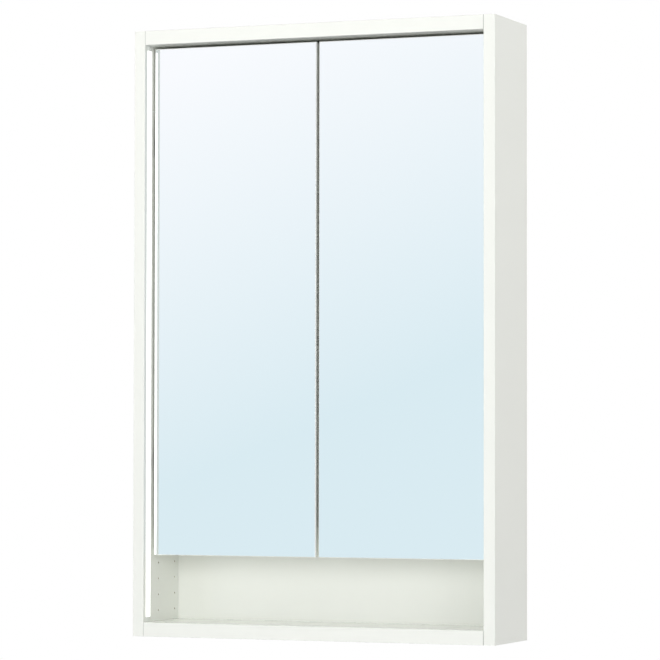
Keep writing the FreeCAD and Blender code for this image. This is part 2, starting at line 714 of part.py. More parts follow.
def make_driver_insides():
    top = f"({BOARD_SEAT} + driver_wall)"
    left = f"({DRIVER_LEFT} + driver_width / 12)"
    plate = block("circuit_plate", (left, BOARD_SEAT, f"{DRIVER_BOTTOM} + 3 * driver_wall"),
                  (f"{MIDDLE} + driver_width / 4 + rivet_diameter", top, f"{DRIVER_TOP} - 3 * driver_wall"))
    coil = block("transformer",
                 (f"{MIDDLE} - driver_width / 8", top, f"{LEAD_HEIGHT} - driver_height / 4"),
                 (f"{MIDDLE} + driver_width / 24", f"{LID_FRONT} - driver_wall",
                  f"{LEAD_HEIGHT} + driver_height / 4"))
    cans = [rod(f"capacitor_{index}", "back", (across, top, LEAD_HEIGHT),
                f"{LID_FRONT} - driver_wall - {top}", "driver_height / 4")
            for index, across in enumerate(CAPACITOR_PLACES)]
    keep(fused("driver_circuit_board", [plate, coil] + cans), "driver_circuit_board")

    low = f"({DRIVER_BOTTOM} + gland_diameter)"
    terminal = block("terminal_blank", (f"{GLAND_ACROSS} - gland_diameter", CASE_FLOOR, low),
                     (f"{GLAND_ACROSS} + gland_diameter", f"{LID_FRONT} - 2 * driver_wall",
                      f"{DRIVER_TOP} - 2 * driver_wall"))
    well_height = f"{low} + driver_height / 4"
    wells = [rod(f"terminal_well_{index}", "back",
                 (f"{GLAND_ACROSS} + {index - 1} * terminal_pitch", GLAND_BACK, well_height),
                 "driver_depth", "rivet_diameter") for index in range(3)]
    keep(cut("terminal_block", terminal, wells), "terminal_block")


def make_driver_fittings():
    neck = "gland_bore + 3 * driver_wall / 2"
    stub = rod("gland_stub", "up", (GLAND_ACROSS, GLAND_BACK, DRIVER_BOTTOM), "4 * driver_wall", neck)
    mouth = (GLAND_ACROSS, GLAND_BACK, f"{DRIVER_BOTTOM} - gland_length")
    nut = rod("gland_nut", "up", mouth, "gland_length", "gland_diameter")
    bore = rod("gland_bore_hole", "up", mouth, "gland_length + 4 * driver_wall", "gland_bore")
    keep(cut("mains_gland", fused("gland_blank", [stub, nut]), [bore]), "mains_gland")

    rivets = []
    for index, across in enumerate(RIVET_PLACES):
        head = rod(f"rivet_head_{index}", "back", (across, f"{BACK} - driver_wall", RIVET_HEIGHT),
                   "driver_wall", "2 * rivet_diameter")
        shank = rod(f"rivet_shank_{index}", "back", (across, BACK, RIVET_HEIGHT),
                    "back_thickness + driver_wall", "rivet_diameter")
        tail = rod(f"rivet_tail_{index}", "back", (across, CASE_FLOOR, RIVET_HEIGHT), "driver_wall",
                   "1.5 * rivet_diameter")
        rivets.append(fused(f"rivet_{index}", [head, shank, tail]))
    keep(grouped("driver_rivets", rivets), "driver_rivets")


# Doors and hinges

def make_mirror_glass():
    body = new_body("left_mirror_glass", (GLASS_LEFT, GLASS_BACK, "door_bottom"))
    drawing = drawing_on(body, "XZ_Plane")
    rectangle(drawing, ("0", "0"), (f"{GLASS_RIGHT} - {GLASS_LEFT}", f"{DOOR_TOP} - door_bottom"))
    sheet_of_glass = pad(body, drawing, "glass_thickness")
    dress_front(body, sheet_of_glass, "PartDesign::Chamfer", ["across", "up"], "Size", "glass_bevel")
    keep_pair(body, "left_mirror_glass")


def cup_screw_places():
    across = f"({BOARD_LEFT} + 0.7 * cup_length)"
    return [(across, f"{height} {sign} (cup_height + flange_height) / 4")
            for height in HINGE_HEIGHTS.values() for sign in "+-"]


def cup_screw_holes(name):
    return [rod(f"{name}_{index}", "back",
                (across, f"{BOARD_BACK} + flange_thickness - {CUP_SCREW_LENGTH}", height),
                CUP_SCREW_LENGTH, "screw_diameter + 2 * fit_gap")
            for index, (across, height) in enumerate(cup_screw_places())]


def make_door_board():
    blank = block("door_board_blank", (BOARD_LEFT, GLASS_BACK, "door_bottom + board_inset"),
                  (f"{GLASS_RIGHT} - board_inset", BOARD_BACK, f"{DOOR_TOP} - board_inset"))
    tools = [block(f"{level}_cup_notch", (BOARD_LEFT, GLASS_BACK, f"{height} - cup_height / 2"),
                   (f"{BOARD_LEFT} + cup_length", BOARD_BACK, f"{height} + cup_height / 2"))
             for level, height in HINGE_HEIGHTS.items()]
    keep_pair(cut("left_board", blank, tools + cup_screw_holes("board_screw_hole")), "left_door_board")


def make_hinge(level, height):
    """One single-pivot hinge: cup and pin on the door, cranked arm and plate on the side panel."""
    name = f"left_{level}_hinge"
    pin_length = "(arm_width + 2 * slot_gap + 2 * cup_cheek)"
    pin_start = (AXIS_ACROSS, AXIS_BACK, f"{height} - {pin_length} / 2")
    pin = rod(name + "_pin_rod", "up", pin_start, pin_length, "hinge_pin_diameter")
    keep_pair(pin, name + "_pin")

    body = block(name + "_cup_body", (BOARD_LEFT, GLASS_BACK, f"{height} - cup_height / 2"),
                 (f"{BOARD_LEFT} + cup_length", BOARD_BACK, f"{height} + cup_height / 2"))
    flange = block(name + "_flange", (BOARD_LEFT, BOARD_BACK, f"{height} - flange_height / 2"),
                   (f"{BOARD_LEFT} + cup_length", f"{BOARD_BACK} + flange_thickness",
                    f"{height} + flange_height / 2"))
    slot = block(name + "_slot", (BOARD_LEFT, GLASS_BACK, f"{height} - arm_width / 2 - slot_gap"),
                 (f"{AXIS_ACROSS} + eye_diameter / 2 + slot_gap", f"{BOARD_BACK} + flange_thickness",
                  f"{height} + arm_width / 2 + slot_gap"))
    pin_hole = rod(name + "_pin_hole", "up", pin_start, pin_length, "hinge_pin_diameter + fit_gap")
    screw_holes = cup_screw_holes(name + "_screw_hole")
    keep_pair(cut(name + "_cup", fused(name + "_cup_blank", [body, flange]), [slot, pin_hole] + screw_holes),
              name + "_cup")

    bottom = f"{height} - arm_width / 2"
    top = f"{height} + arm_width / 2"
    strap_front = f"({AXIS_BACK} + arm_reach)"
    strap_rear = f"({strap_front} + arm_thickness)"
    foot_face = "(side_thickness + plate_thickness)"
    neck_right = f"({AXIS_ACROSS} + arm_thickness / 2)"
    eye = rod(name + "_eye", "up", (AXIS_ACROSS, AXIS_BACK, bottom), "arm_width", "eye_diameter")
    neck = block(name + "_neck", (f"{AXIS_ACROSS} - arm_thickness / 2", AXIS_BACK, bottom),
                 (neck_right, strap_rear, top))
    strap = block(name + "_strap", (foot_face, strap_front, bottom), (neck_right, strap_rear, top))
    foot = block(name + "_foot", (foot_face, strap_front, bottom),
                 (f"{foot_face} + arm_thickness", f"{strap_front} + arm_length", top))
    bore = rod(name + "_eye_bore", "up", (AXIS_ACROSS, AXIS_BACK, bottom), "arm_width",
               "hinge_pin_diameter + 2 * running_gap")
    screw_back = f"({strap_front} + arm_length / 2)"
    screw_hole = rod(name + "_arm_hole", "across", (INNER, screw_back, height),
                     "plate_thickness + arm_thickness", "screw_diameter + 2 * fit_gap")
    keep_pair(cut(name + "_arm", fused(name + "_arm_blank", [eye, neck, strap, foot]), [bore, screw_hole]),
              name + "_arm")

    plate_front = f"({strap_front} + plate_offset)"
    plate = block(name + "_plate_blank", (INNER, plate_front, f"{height} - plate_height / 2"),
                  (foot_face, f"{plate_front} + plate_length", f"{height} + plate_height / 2"))
    holes = [rod(f"{name}_plate_hole_{index}", "across", (INNER, depth, level_up), "plate_thickness",
                 "screw_diameter + 2 * fit_gap")
             for index, (depth, level_up) in enumerate(plate_screw_places())]
    keep_pair(cut(name + "_plate", plate, holes + [screw_hole]), name + "_plate")
    return screw(name + "_arm_screw", "across", (f"{foot_face} + arm_thickness", screw_back, height),
                 "plate_thickness + arm_thickness")


def screw(name, along, seat, length):
    """A pan-head screw whose head stands on its seat, with a slot across the head."""
    axis = ("across", "back", "up").index(along)

    def moved(offset):
        place_words = list(seat)
        place_words[axis] = f"{seat[axis]} + {offset}"
        return tuple(place_words)

    shank = rod(name + "_shank", along, moved(f"0 - ({length})"), length, "screw_diameter")
    head = rod(name + "_head", along, seat, "head_height", "head_diameter")
    low = [f"({words}) - head_diameter" for words in seat]
    high = [f"({words}) + head_diameter" for words in seat]
    low[2] = f"({seat[2]}) - head_height / 6"
    high[2] = f"({seat[2]}) + head_height / 6"
    low[axis] = f"({seat[axis]}) + head_height / 2"
    slot = block(name + "_slot", tuple(low), tuple(high))
    return cut(name, fused(name + "_blank", [shank, head]), [slot])


def make_hinges():
    arm_screws = [make_hinge(level, height) for level, height in HINGE_HEIGHTS.items()]
    keep_both_sides("hinge_arm_screws", arm_screws)

    plate_face = "(side_thickness + plate_thickness)"
    plate_screws = [screw(f"plate_screw_{index}", "across", (plate_face, depth, height), "screw_length")
                    for index, (depth, height) in enumerate(plate_screw_places())]
    keep_both_sides("hinge_plate_screws", plate_screws)

    flange_face = f"({BOARD_BACK} + flange_thickness)"
    cup_screws = [screw(f"cup_screw_{index}", "back", (across, flange_face, height), CUP_SCREW_LENGTH)
                  for index, (across, height) in enumerate(cup_screw_places())]
    keep_pair(grouped("cup_screws", cup_screws), "left_hinge_cup_screws")


def make_buffers():
    buffers = []
    for index, across in enumerate(BUFFER_PLACES):
        pad_of_rubber = rod(f"buffer_pad_{index}", "back", (across, BOARD_BACK, BUFFER_HEIGHT),
                            "buffer_length", "buffer_diameter")
        peg = rod(f"buffer_peg_{index}", "back", (across, SHELF_FRONT, BUFFER_HEIGHT),
                  "buffer_length - 2 * fit_gap", "buffer_diameter / 2")
        buffers.append(fused(f"buffer_{index}", [pad_of_rubber, peg]))
    keep(grouped("door_buffers", buffers), "door_buffers")


def check_and_write():
    """Stops if any object failed, then writes each sub-part to its own file."""
    doc.recompute()
    failed = [thing.Label for thing in doc.Objects if {"Invalid", "Error"} & set(thing.State)]
    if failed:
        raise RuntimeError("failed objects: " + ", ".join(failed))
    os.makedirs("parts", exist_ok=True)
    for thing in sub_parts:
        shape = thing.Shape
        if shape.isNull() or not shape.isValid() or not shape.Solids:
            raise RuntimeError("bad shape: " + thing.Label)
    for thing in sub_parts:
        thing.Shape.exportStep(os.path.join("parts", thing.Label + ".step"))
    print(len(sub_parts), "sub-parts written")


make_side_panel()
make_level_boards()
make_rails()
make_back_panel()
make_joint_fittings()
make_glass_shelves()
make_profile()
make_diffuser()
make_led_boards()
make_end_caps()
make_leads()
make_driver_case()
make_driver_insides()
make_driver_fittings()
make_mirror_glass()
make_door_board()
make_hinges()
make_buffers()
check_and_write()
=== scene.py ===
import json
import math

import bpy
from mathutils import Matrix, Vector

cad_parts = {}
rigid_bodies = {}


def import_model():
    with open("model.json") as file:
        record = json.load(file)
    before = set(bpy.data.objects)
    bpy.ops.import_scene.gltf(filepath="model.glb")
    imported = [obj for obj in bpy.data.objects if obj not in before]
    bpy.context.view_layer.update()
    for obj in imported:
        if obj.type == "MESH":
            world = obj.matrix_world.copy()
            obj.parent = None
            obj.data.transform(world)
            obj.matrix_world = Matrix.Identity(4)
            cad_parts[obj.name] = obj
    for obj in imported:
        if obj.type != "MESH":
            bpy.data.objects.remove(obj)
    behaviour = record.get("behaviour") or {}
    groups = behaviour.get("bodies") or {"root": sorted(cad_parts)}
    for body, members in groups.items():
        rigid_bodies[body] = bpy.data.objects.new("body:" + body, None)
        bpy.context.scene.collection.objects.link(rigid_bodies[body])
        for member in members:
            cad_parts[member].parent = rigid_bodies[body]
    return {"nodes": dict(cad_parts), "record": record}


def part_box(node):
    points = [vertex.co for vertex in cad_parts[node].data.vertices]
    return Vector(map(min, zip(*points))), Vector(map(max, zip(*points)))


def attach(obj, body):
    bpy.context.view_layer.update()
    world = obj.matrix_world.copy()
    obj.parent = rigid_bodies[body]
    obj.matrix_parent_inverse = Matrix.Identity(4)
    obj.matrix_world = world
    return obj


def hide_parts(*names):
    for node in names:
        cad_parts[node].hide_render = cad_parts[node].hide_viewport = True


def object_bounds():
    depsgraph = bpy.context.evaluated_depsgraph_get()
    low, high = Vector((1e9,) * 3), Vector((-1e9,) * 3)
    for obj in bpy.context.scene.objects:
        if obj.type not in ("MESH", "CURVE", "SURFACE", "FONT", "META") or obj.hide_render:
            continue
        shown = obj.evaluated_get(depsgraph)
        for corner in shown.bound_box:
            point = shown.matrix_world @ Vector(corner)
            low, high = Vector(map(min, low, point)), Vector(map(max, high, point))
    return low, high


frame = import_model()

# A lighted mirror cabinet: the finish of every surface, the small pieces that are modelled by hand,
# the camera and the studio.
# Lengths are metres in the cabinet's own frame: +Z up, -Y out of the front, the wall at Y 0.

MM = 0.001
CAD_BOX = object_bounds()
NODES = frame["nodes"]
SLOT_OF = {part["node"]: part["material_slot"] for part in frame["record"]["subparts"]}
CABINET_LOW, CABINET_HIGH = CAD_BOX
CABINET_MIDDLE = (CABINET_LOW + CABINET_HIGH) / 2

# Colours, linear
FOIL_WHITE = (0.868, 0.880, 0.840, 1)
FOIL_SHADE = (0.854, 0.866, 0.826, 1)
CHIP_LIGHT = (0.56, 0.40, 0.235, 1)
CHIP_DARK = (0.22, 0.135, 0.07, 1)
# Painted shade, with a little dust, for the joints of the butt-jointed panels
SEAM_SHADE_AND_DUST = (0.40, 0.41, 0.39, 1)
# Painted shade for the depths of holes and grooves in the board's core
PAINTED_HOLE_SHADE = (0.10, 0.085, 0.07, 1)
FIBRE_LIGHT = (0.30, 0.175, 0.085, 1)
FIBRE_DARK = (0.19, 0.105, 0.05, 1)
SILVER = (0.945, 0.965, 0.968, 1)
GROUND_GLASS = (0.92, 0.93, 0.92, 1)
GROUND_SHADE = (0.86, 0.88, 0.87, 1)
BACKING_PAINT = (0.22, 0.27, 0.28, 1)
CLEAR_GLASS = (0.955, 0.985, 0.975, 1)
GLASS_EDGE = (0.45, 0.78, 0.68, 1)
OPAL = (0.93, 0.93, 0.91, 1)
LAMP_WHITE = (1.0, 1.0, 0.98, 1)
LAMP_END = (0.86, 0.86, 0.84, 1)
ALUMINIUM = (0.72, 0.73, 0.74, 1)
NICKEL = (0.50, 0.49, 0.47, 1)
ZINC = (0.55, 0.57, 0.60, 1)
WHITE_PLASTIC = (0.82, 0.835, 0.81, 1)
GREY_PLASTIC = (0.40, 0.41, 0.42, 1)
BLACK_NYLON = (0.022, 0.022, 0.024, 1)
CABLE_WHITE = (0.76, 0.76, 0.74, 1)
RUBBER_MILK = (0.70, 0.72, 0.70, 1)
BEECH_LIGHT = (0.62, 0.42, 0.24, 1)
BEECH_DARK = (0.44, 0.27, 0.14, 1)
MASK_WHITE = (0.80, 0.80, 0.76, 1)
MASK_GREEN = (0.02, 0.13, 0.05, 1)
TRACE_GREEN = (0.05, 0.22, 0.09, 1)
PHOSPHOR = (0.86, 0.64, 0.16, 1)
CHIP_BODY = (0.80, 0.79, 0.74, 1)


# Nodes

def feed(tree, socket, value):
    """Links a socket to another, or sets its own value."""
    if isinstance(value, bpy.types.NodeSocket):
        tree.links.new(value, socket)
    else:
        socket.default_value = value


def add(tree, kind, sockets=None, **settings):
    """A new node with its settings made and its sockets fed."""
    node = tree.nodes.new(kind)
    for name, value in settings.items():
        setattr(node, name, value)
    for name, value in (sockets or {}).items():
        feed(tree, node.inputs[name], value)
    return node


def math_of(tree, operation, first, second=0.0):
    node = tree.nodes.new("ShaderNodeMath")
    node.operation = operation
    feed(tree, node.inputs[0], first)
    feed(tree, node.inputs[1], second)
    return node.outputs[0]


def vectors(tree, operation, first, second=(0, 0, 0)):
    node = tree.nodes.new("ShaderNodeVectorMath")
    node.operation = operation
    feed(tree, node.inputs[0], first)
    feed(tree, node.inputs[1], second)
    return node.outputs["Value" if operation in ("DOT_PRODUCT", "LENGTH") else "Vector"]


def mixed(tree, factor, first, second):
    """A colour between two others."""
    node = tree.nodes.new("ShaderNodeMix")
    node.data_type = "RGBA"
    feed(tree, node.inputs[0], factor)
    feed(tree, node.inputs[6], first)
    feed(tree, node.inputs[7], second)
    return node.outputs[2]


def ranged(tree, value, start, end, low=0.0, high=1.0):
    """A value carried from one range to another, held at the ends."""
    node = add(tree, "ShaderNodeMapRange", {"Value": value, "From Min": start, "From Max": end,
                                            "To Min": low, "To Max": high})
    return node.outputs["Result"]


def blended(tree, first, second, share):
    """Two values added, the first by its share and the second by the rest."""
    rest = math_of(tree, "MULTIPLY", second, 1 - share)
    return math_of(tree, "ADD", math_of(tree, "MULTIPLY", first, share), rest)


def object_place(tree):
    return add(tree, "ShaderNodeTexCoord").outputs["Object"]


def new_group(name, inputs, outputs):
    group = bpy.data.node_groups.new(name, "ShaderNodeTree")
    for way, sockets in (("INPUT", inputs), ("OUTPUT", outputs)):
        for label, kind in sockets.items():
            group.interface.new_socket(label, in_out=way, socket_type="NodeSocket" + kind)
    given = group.nodes.new("NodeGroupInput").outputs
    wanted = group.nodes.new("NodeGroupOutput").inputs
    return group, given, wanted


def placed(tree, group, sockets):
    """A group placed in a tree with its own values."""
    return add(tree, "ShaderNodeGroup", sockets, node_tree=group).outputs


# Effects that several finishes share

FINE_SHARE = 0.75
BROAD_SCALE = 0.012
CHIP_SHARE = 0.6
DUST_SCALE = 3.0


def make_inset_depth():
    """How deep a point lies inside each pair of faces of a box."""
    group, given, wanted = new_group(
        "inset_depth", {"Vector": "Vector", "Centre": "Vector", "Half": "Vector"},
        {"Across": "Float", "Back": "Float", "Up": "Float", "Least": "Float"})
    reach = vectors(group, "ABSOLUTE", vectors(group, "SUBTRACT", given["Vector"], given["Centre"]))
    inside = vectors(group, "SUBTRACT", given["Half"], reach)
    parts = add(group, "ShaderNodeSeparateXYZ", {"Vector": inside}).outputs
    least = math_of(group, "MINIMUM", math_of(group, "MINIMUM", parts["X"], parts["Y"]), parts["Z"])
    depths = {"Across": parts["X"], "Back": parts["Y"], "Up": parts["Z"], "Least": least}
    for label, value in depths.items():
        group.links.new(value, wanted[label])
    return group


def make_fine_grain():
    """A fine even grain, as on foil and moulded plastic."""
    group, given, wanted = new_group(
        "fine_grain", {"Vector": "Vector", "Scale": "Float"}, {"Tone": "Float", "Height": "Float"})
    fine = add(group, "ShaderNodeTexNoise", {"Vector": given["Vector"], "Scale": given["Scale"],
                                             "Detail": 3.0, "Roughness": 0.6})
    broad_scale = math_of(group, "MULTIPLY", given["Scale"], BROAD_SCALE)
    broad = add(group, "ShaderNodeTexNoise", {"Vector": given["Vector"], "Scale": broad_scale,
                                              "Detail": 2.0})
    tone = blended(group, fine.outputs["Fac"], broad.outputs["Fac"], FINE_SHARE)
    group.links.new(tone, wanted["Tone"])
    group.links.new(fine.outputs["Fac"], wanted["Height"])
    return group


def make_pressed_chips():
    """Flat chips or fibres pressed together, each with its own tone."""
    group, given, wanted = new_group(
        "pressed_chips", {"Vector": "Vector", "Scale": "Float", "Light": "Color", "Dark": "Color"},
        {"Color": "Color", "Height": "Float"})
    chips = add(group, "ShaderNodeTexVoronoi", {"Vector": given["Vector"], "Scale": given["Scale"]})
    tone = add(group, "ShaderNodeSeparateColor", {"Color": chips.outputs["Color"]}).outputs["Red"]
    dust_scale = math_of(group, "MULTIPLY", given["Scale"], DUST_SCALE)
    dust = add(group, "ShaderNodeTexNoise", {"Vector": given["Vector"], "Scale": dust_scale,
                                             "Detail": 4.0})
    share = blended(group, tone, dust.outputs["Fac"], CHIP_SHARE)
    height = math_of(group, "SUBTRACT", dust.outputs["Fac"], chips.outputs["Distance"])
    group.links.new(mixed(group, share, given["Dark"], given["Light"]), wanted["Color"])
    group.links.new(height, wanted["Height"])
    return group


def make_streaks():
    """Fine streaks along one way, as drawn or rolled metal shows."""
    group, given, wanted = new_group(
        "streaks", {"Vector": "Vector", "Stretch": "Vector"}, {"Tone": "Float"})
    drawn = vectors(group, "MULTIPLY", given["Vector"], given["Stretch"])
    noise = add(group, "ShaderNodeTexNoise", {"Vector": drawn, "Scale": 1.0, "Detail": 4.0,
                                              "Roughness": 0.65})
    group.links.new(noise.outputs["Fac"], wanted["Tone"])
    return group


INSET_DEPTH = make_inset_depth()
FINE_GRAIN = make_fine_grain()
PRESSED_CHIPS = make_pressed_chips()
STREAKS = make_streaks()


# Finishes

TONE_LOW, TONE_HIGH = 0.3, 0.7
SKIN = 0.5 * MM
SKIN_END = 1.4 * SKIN
REAR_CUT = 4 * SKIN
BUTT_JOINTED = ("top_panel", "bottom_panel")
SEAM_SHADE_WIDTH = 0.9 * MM
SEAM_SHADE_MIDDLE = 0.2 * SEAM_SHADE_WIDTH
HOLE_START = 1.2 * MM
HOLE_END = 3.5 * MM
FOIL_ROUGHNESS = (0.11, 0.15)
FOIL_RELIEF = 0.003 * MM
CORE_ROUGHNESS = 0.85
CORE_RELIEF_TIMES = 18.0
CHIP_SCALE = 640.0
FIBRE_SCALE = 900.0
ARRIS = 1.0 * MM
ARRIS_FULL = 0.9 * MM
PAINT_START = 0.3 * MM
PAINT_FULL = 0.1 * MM
SILVER_ROUGHNESS = 0.008
GROUND_ROUGHNESS = 0.34
GREEN_EDGE = 1.2 * MM
GREEN_FULL = 0.2 * MM
SMEAR_TONES = (0.35, 0.75)
SMEAR_ROUGHNESS = 0.03
DIM_END = 7 * MM
METAL_SHADE = 0.92
PLASTIC_SHADE = 0.94
GLOSS_SPREAD = 0.05


def new_finish(name):
    material = bpy.data.materials.new(name)
    material.use_nodes = True
    tree = material.node_tree
    return material, tree, tree.nodes["Principled BSDF"]


def bump(tree, shader, height, depth):
    node = add(tree, "ShaderNodeBump", {"Height": height, "Distance": depth, "Strength": 1.0})
    feed(tree, shader.inputs["Normal"], node.outputs["Normal"])


def rough_by(tree, tone, low, high):
    """A roughness that follows the tone of a grain."""
    return ranged(tree, tone, TONE_LOW, TONE_HIGH, low, high)


def darker(colour, share):
    return tuple(part * share for part in colour[:3]) + (1,)


def depths_in(tree, node, raw_rear=0.0):
    """How deep a point lies in a node's own box. The rear face counts as cut where raw_rear is set."""
    low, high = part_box(node)
    high.y += raw_rear
    return placed(tree, INSET_DEPTH, {"Vector": object_place(tree), "Centre": (low + high) / 2,
                                      "Half": (high - low) / 2})


def foil_board(node, chip_scale=CHIP_SCALE, light=CHIP_LIGHT, dark=CHIP_DARK):
    """White foil over a board. Holes, grooves and the rear edge show the board's core, painted dark deep in
    the holes as painted shade; the butt-jointed panels get a thin band of painted shade and dust at their
    ends.
    """
    material, tree, shader = new_finish("foil_on_" + node)
    place = object_place(tree)
    foiled_all_round = node.endswith("door_board")
    depth = depths_in(tree, node, 0.0 if foiled_all_round else REAR_CUT)
    core = ranged(tree, depth["Least"], SKIN, SKIN_END)
    grain = placed(tree, FINE_GRAIN, {"Vector": place, "Scale": 1900.0})
    chips = placed(tree, PRESSED_CHIPS, {"Vector": place, "Scale": chip_scale,
                                         "Light": light, "Dark": dark})
    foil = mixed(tree, grain["Tone"], FOIL_SHADE, FOIL_WHITE)
    # Painted shade with a little dust: a thin grey band along the panel's ends, where it meets the sides
    if node in BUTT_JOINTED:
        foil = mixed(tree, ranged(tree, depth["Across"], SEAM_SHADE_WIDTH, SEAM_SHADE_MIDDLE), foil, SEAM_SHADE_AND_DUST)
    # Deep in holes and grooves the core colour turns dark: painted shade
    deep = ranged(tree, depth["Least"], HOLE_START, HOLE_END)
    core_with_painted_shade = mixed(tree, deep, chips["Color"], PAINTED_HOLE_SHADE)
    feed(tree, shader.inputs["Base Color"], mixed(tree, core, foil, core_with_painted_shade))
    foil_roughness = rough_by(tree, grain["Tone"], *FOIL_ROUGHNESS)
    core_roughness = math_of(tree, "MULTIPLY", core, CORE_ROUGHNESS)
    feed(tree, shader.inputs["Roughness"], math_of(tree, "MAXIMUM", foil_roughness, core_roughness))
    core_relief = math_of(tree, "MULTIPLY", core, CORE_RELIEF_TIMES)
    chip_height = math_of(tree, "MULTIPLY", chips["Height"], core_relief)
    bump(tree, shader, math_of(tree, "ADD", grain["Height"], chip_height), FOIL_RELIEF)
    return material


def hard_board(node):
    return foil_board(node, FIBRE_SCALE, FIBRE_LIGHT, FIBRE_DARK)


def raw_chipboard(node):
    material, tree, shader = new_finish("raw_" + node)
    chips = placed(tree, PRESSED_CHIPS, {"Vector": object_place(tree), "Scale": CHIP_SCALE,
                                         "Light": CHIP_LIGHT, "Dark": CHIP_DARK})
    feed(tree, shader.inputs["Base Color"], chips["Color"])
    shader.inputs["Roughness"].default_value = 0.82
    bump(tree, shader, chips["Height"], 0.12 * MM)
    return material


def mirror(node):
    """Silvered glass: a ground arris along its border, paint on its rear face."""
    material, tree, shader = new_finish("silvered_" + node)
    depth = depths_in(tree, node)
    grain = placed(tree, FINE_GRAIN, {"Vector": object_place(tree), "Scale": 2600.0})
    border = math_of(tree, "MINIMUM", depth["Across"], depth["Up"])
    edge = ranged(tree, border, ARRIS, ARRIS_FULL)
    parts = add(tree, "ShaderNodeSeparateXYZ", {"Vector": object_place(tree)}).outputs
    rear_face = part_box(node)[1].y
    painted = ranged(tree, parts["Y"], rear_face - PAINT_START, rear_face - PAINT_FULL)
    ground = mixed(tree, grain["Tone"], GROUND_SHADE, GROUND_GLASS)
    colour = mixed(tree, painted, mixed(tree, edge, SILVER, ground), BACKING_PAINT)
    dull = math_of(tree, "MAXIMUM", edge, painted)
    feed(tree, shader.inputs["Base Color"], colour)
    feed(tree, shader.inputs["Metallic"], math_of(tree, "SUBTRACT", 1.0, dull))
    roughness = ranged(tree, dull, 0.0, 1.0, SILVER_ROUGHNESS, GROUND_ROUGHNESS)
    feed(tree, shader.inputs["Roughness"], roughness)
    return material


def clear_glass(node):
    material, tree, shader = new_finish("clear_" + node)
    depth = depths_in(tree, node)
    border = math_of(tree, "MINIMUM", depth["Across"], depth["Back"])
    edge = ranged(tree, border, GREEN_EDGE, GREEN_FULL)
    smears = placed(tree, FINE_GRAIN, {"Vector": object_place(tree), "Scale": 700.0})
    feed(tree, shader.inputs["Base Color"], mixed(tree, edge, CLEAR_GLASS, GLASS_EDGE))
    smeared = ranged(tree, smears["Tone"], *SMEAR_TONES, 0.0, SMEAR_ROUGHNESS)
    feed(tree, shader.inputs["Roughness"], smeared)
    shader.inputs["Transmission Weight"].default_value = 1.0
    shader.inputs["IOR"].default_value = 1.52
    return material


def opal_diffuser(node):
    """Opal cover, evenly lit from behind and a little dimmer at its ends."""
    material, tree, shader = new_finish("lit_" + node)
    depth = depths_in(tree, node)
    grain = placed(tree, FINE_GRAIN, {"Vector": object_place(tree), "Scale": 1500.0})
    lit = ranged(tree, depth["Up"], 0.0, DIM_END)
    feed(tree, shader.inputs["Base Color"], mixed(tree, grain["Tone"], OPAL, FOIL_WHITE))
    feed(tree, shader.inputs["Emission Color"], mixed(tree, lit, LAMP_END, LAMP_WHITE))
    shader.inputs["Emission Strength"].default_value = 1.0
    shader.inputs["Roughness"].default_value = 0.5
    bump(tree, shader, grain["Height"], 0.01 * MM)
    return material


def metal(name, colour, stretch, rough_low, rough_high, bump_depth=0.004 * MM):
    material, tree, shader = new_finish(name)
    streak = placed(tree, STREAKS, {"Vector": object_place(tree), "Stretch": stretch})
    dark = darker(colour, METAL_SHADE)
    feed(tree, shader.inputs["Base Color"], mixed(tree, streak["Tone"], dark, colour))
    feed(tree, shader.inputs["Roughness"], rough_by(tree, streak["Tone"], rough_low, rough_high))
    shader.inputs["Metallic"].default_value = 1.0
    bump(tree, shader, streak["Tone"], bump_depth)
    return material


def aluminium(node):
    return metal("anodised_" + node, ALUMINIUM, stretch=(2500, 2500, 40), rough_low=0.30, rough_high=0.42)


def nickel_steel(node):
    return metal("nickel_" + node, NICKEL, stretch=(2400, 2400, 600), rough_low=0.22, rough_high=0.30,
                 bump_depth=0.0015 * MM)


def zinc_steel(node):
    return metal("zinc_" + node, ZINC, stretch=(1600, 1600, 1600), rough_low=0.28, rough_high=0.40,
                 bump_depth=0.002 * MM)


def plastic(name, colour, grain_scale, rough, bump_depth=0.02 * MM):
    material, tree, shader = new_finish(name)
    grain = placed(tree, FINE_GRAIN, {"Vector": object_place(tree), "Scale": grain_scale})
    dark = darker(colour, PLASTIC_SHADE)
    feed(tree, shader.inputs["Base Color"], mixed(tree, grain["Tone"], dark, colour))
    roughness = rough_by(tree, grain["Tone"], rough - GLOSS_SPREAD, rough + GLOSS_SPREAD)
    feed(tree, shader.inputs["Roughness"], roughness)
    bump(tree, shader, grain["Height"], bump_depth)
    return material


def white_plastic(node):
    return plastic("white_plastic_" + node, WHITE_PLASTIC, grain_scale=2200.0, rough=0.45)


def grey_plastic(node):
    return plastic("grey_plastic_" + node, GREY_PLASTIC, grain_scale=1600.0, rough=0.55,
                   bump_depth=0.03 * MM)


def black_nylon(node):
    return plastic("black_nylon_" + node, BLACK_NYLON, grain_scale=1800.0, rough=0.42)


def cable_jacket(node):
    return plastic("cable_jacket_" + node, CABLE_WHITE, grain_scale=900.0, rough=0.40,
                   bump_depth=0.01 * MM)


def clear_rubber(node):
    material = plastic("milky_rubber_" + node, RUBBER_MILK, grain_scale=1200.0, rough=0.30,
                       bump_depth=0.01 * MM)
    shader = material.node_tree.nodes["Principled BSDF"]
    shader.inputs["Transmission Weight"].default_value = 0.35
    return material


def beech(node):
    material, tree, shader = new_finish("beech_" + node)
    grain = placed(tree, STREAKS, {"Vector": object_place(tree), "Stretch": (60, 900, 900)})
    feed(tree, shader.inputs["Base Color"], mixed(tree, grain["Tone"], BEECH_DARK, BEECH_LIGHT))
    shader.inputs["Roughness"].default_value = 0.7
    bump(tree, shader, grain["Tone"], 0.06 * MM)
    return material


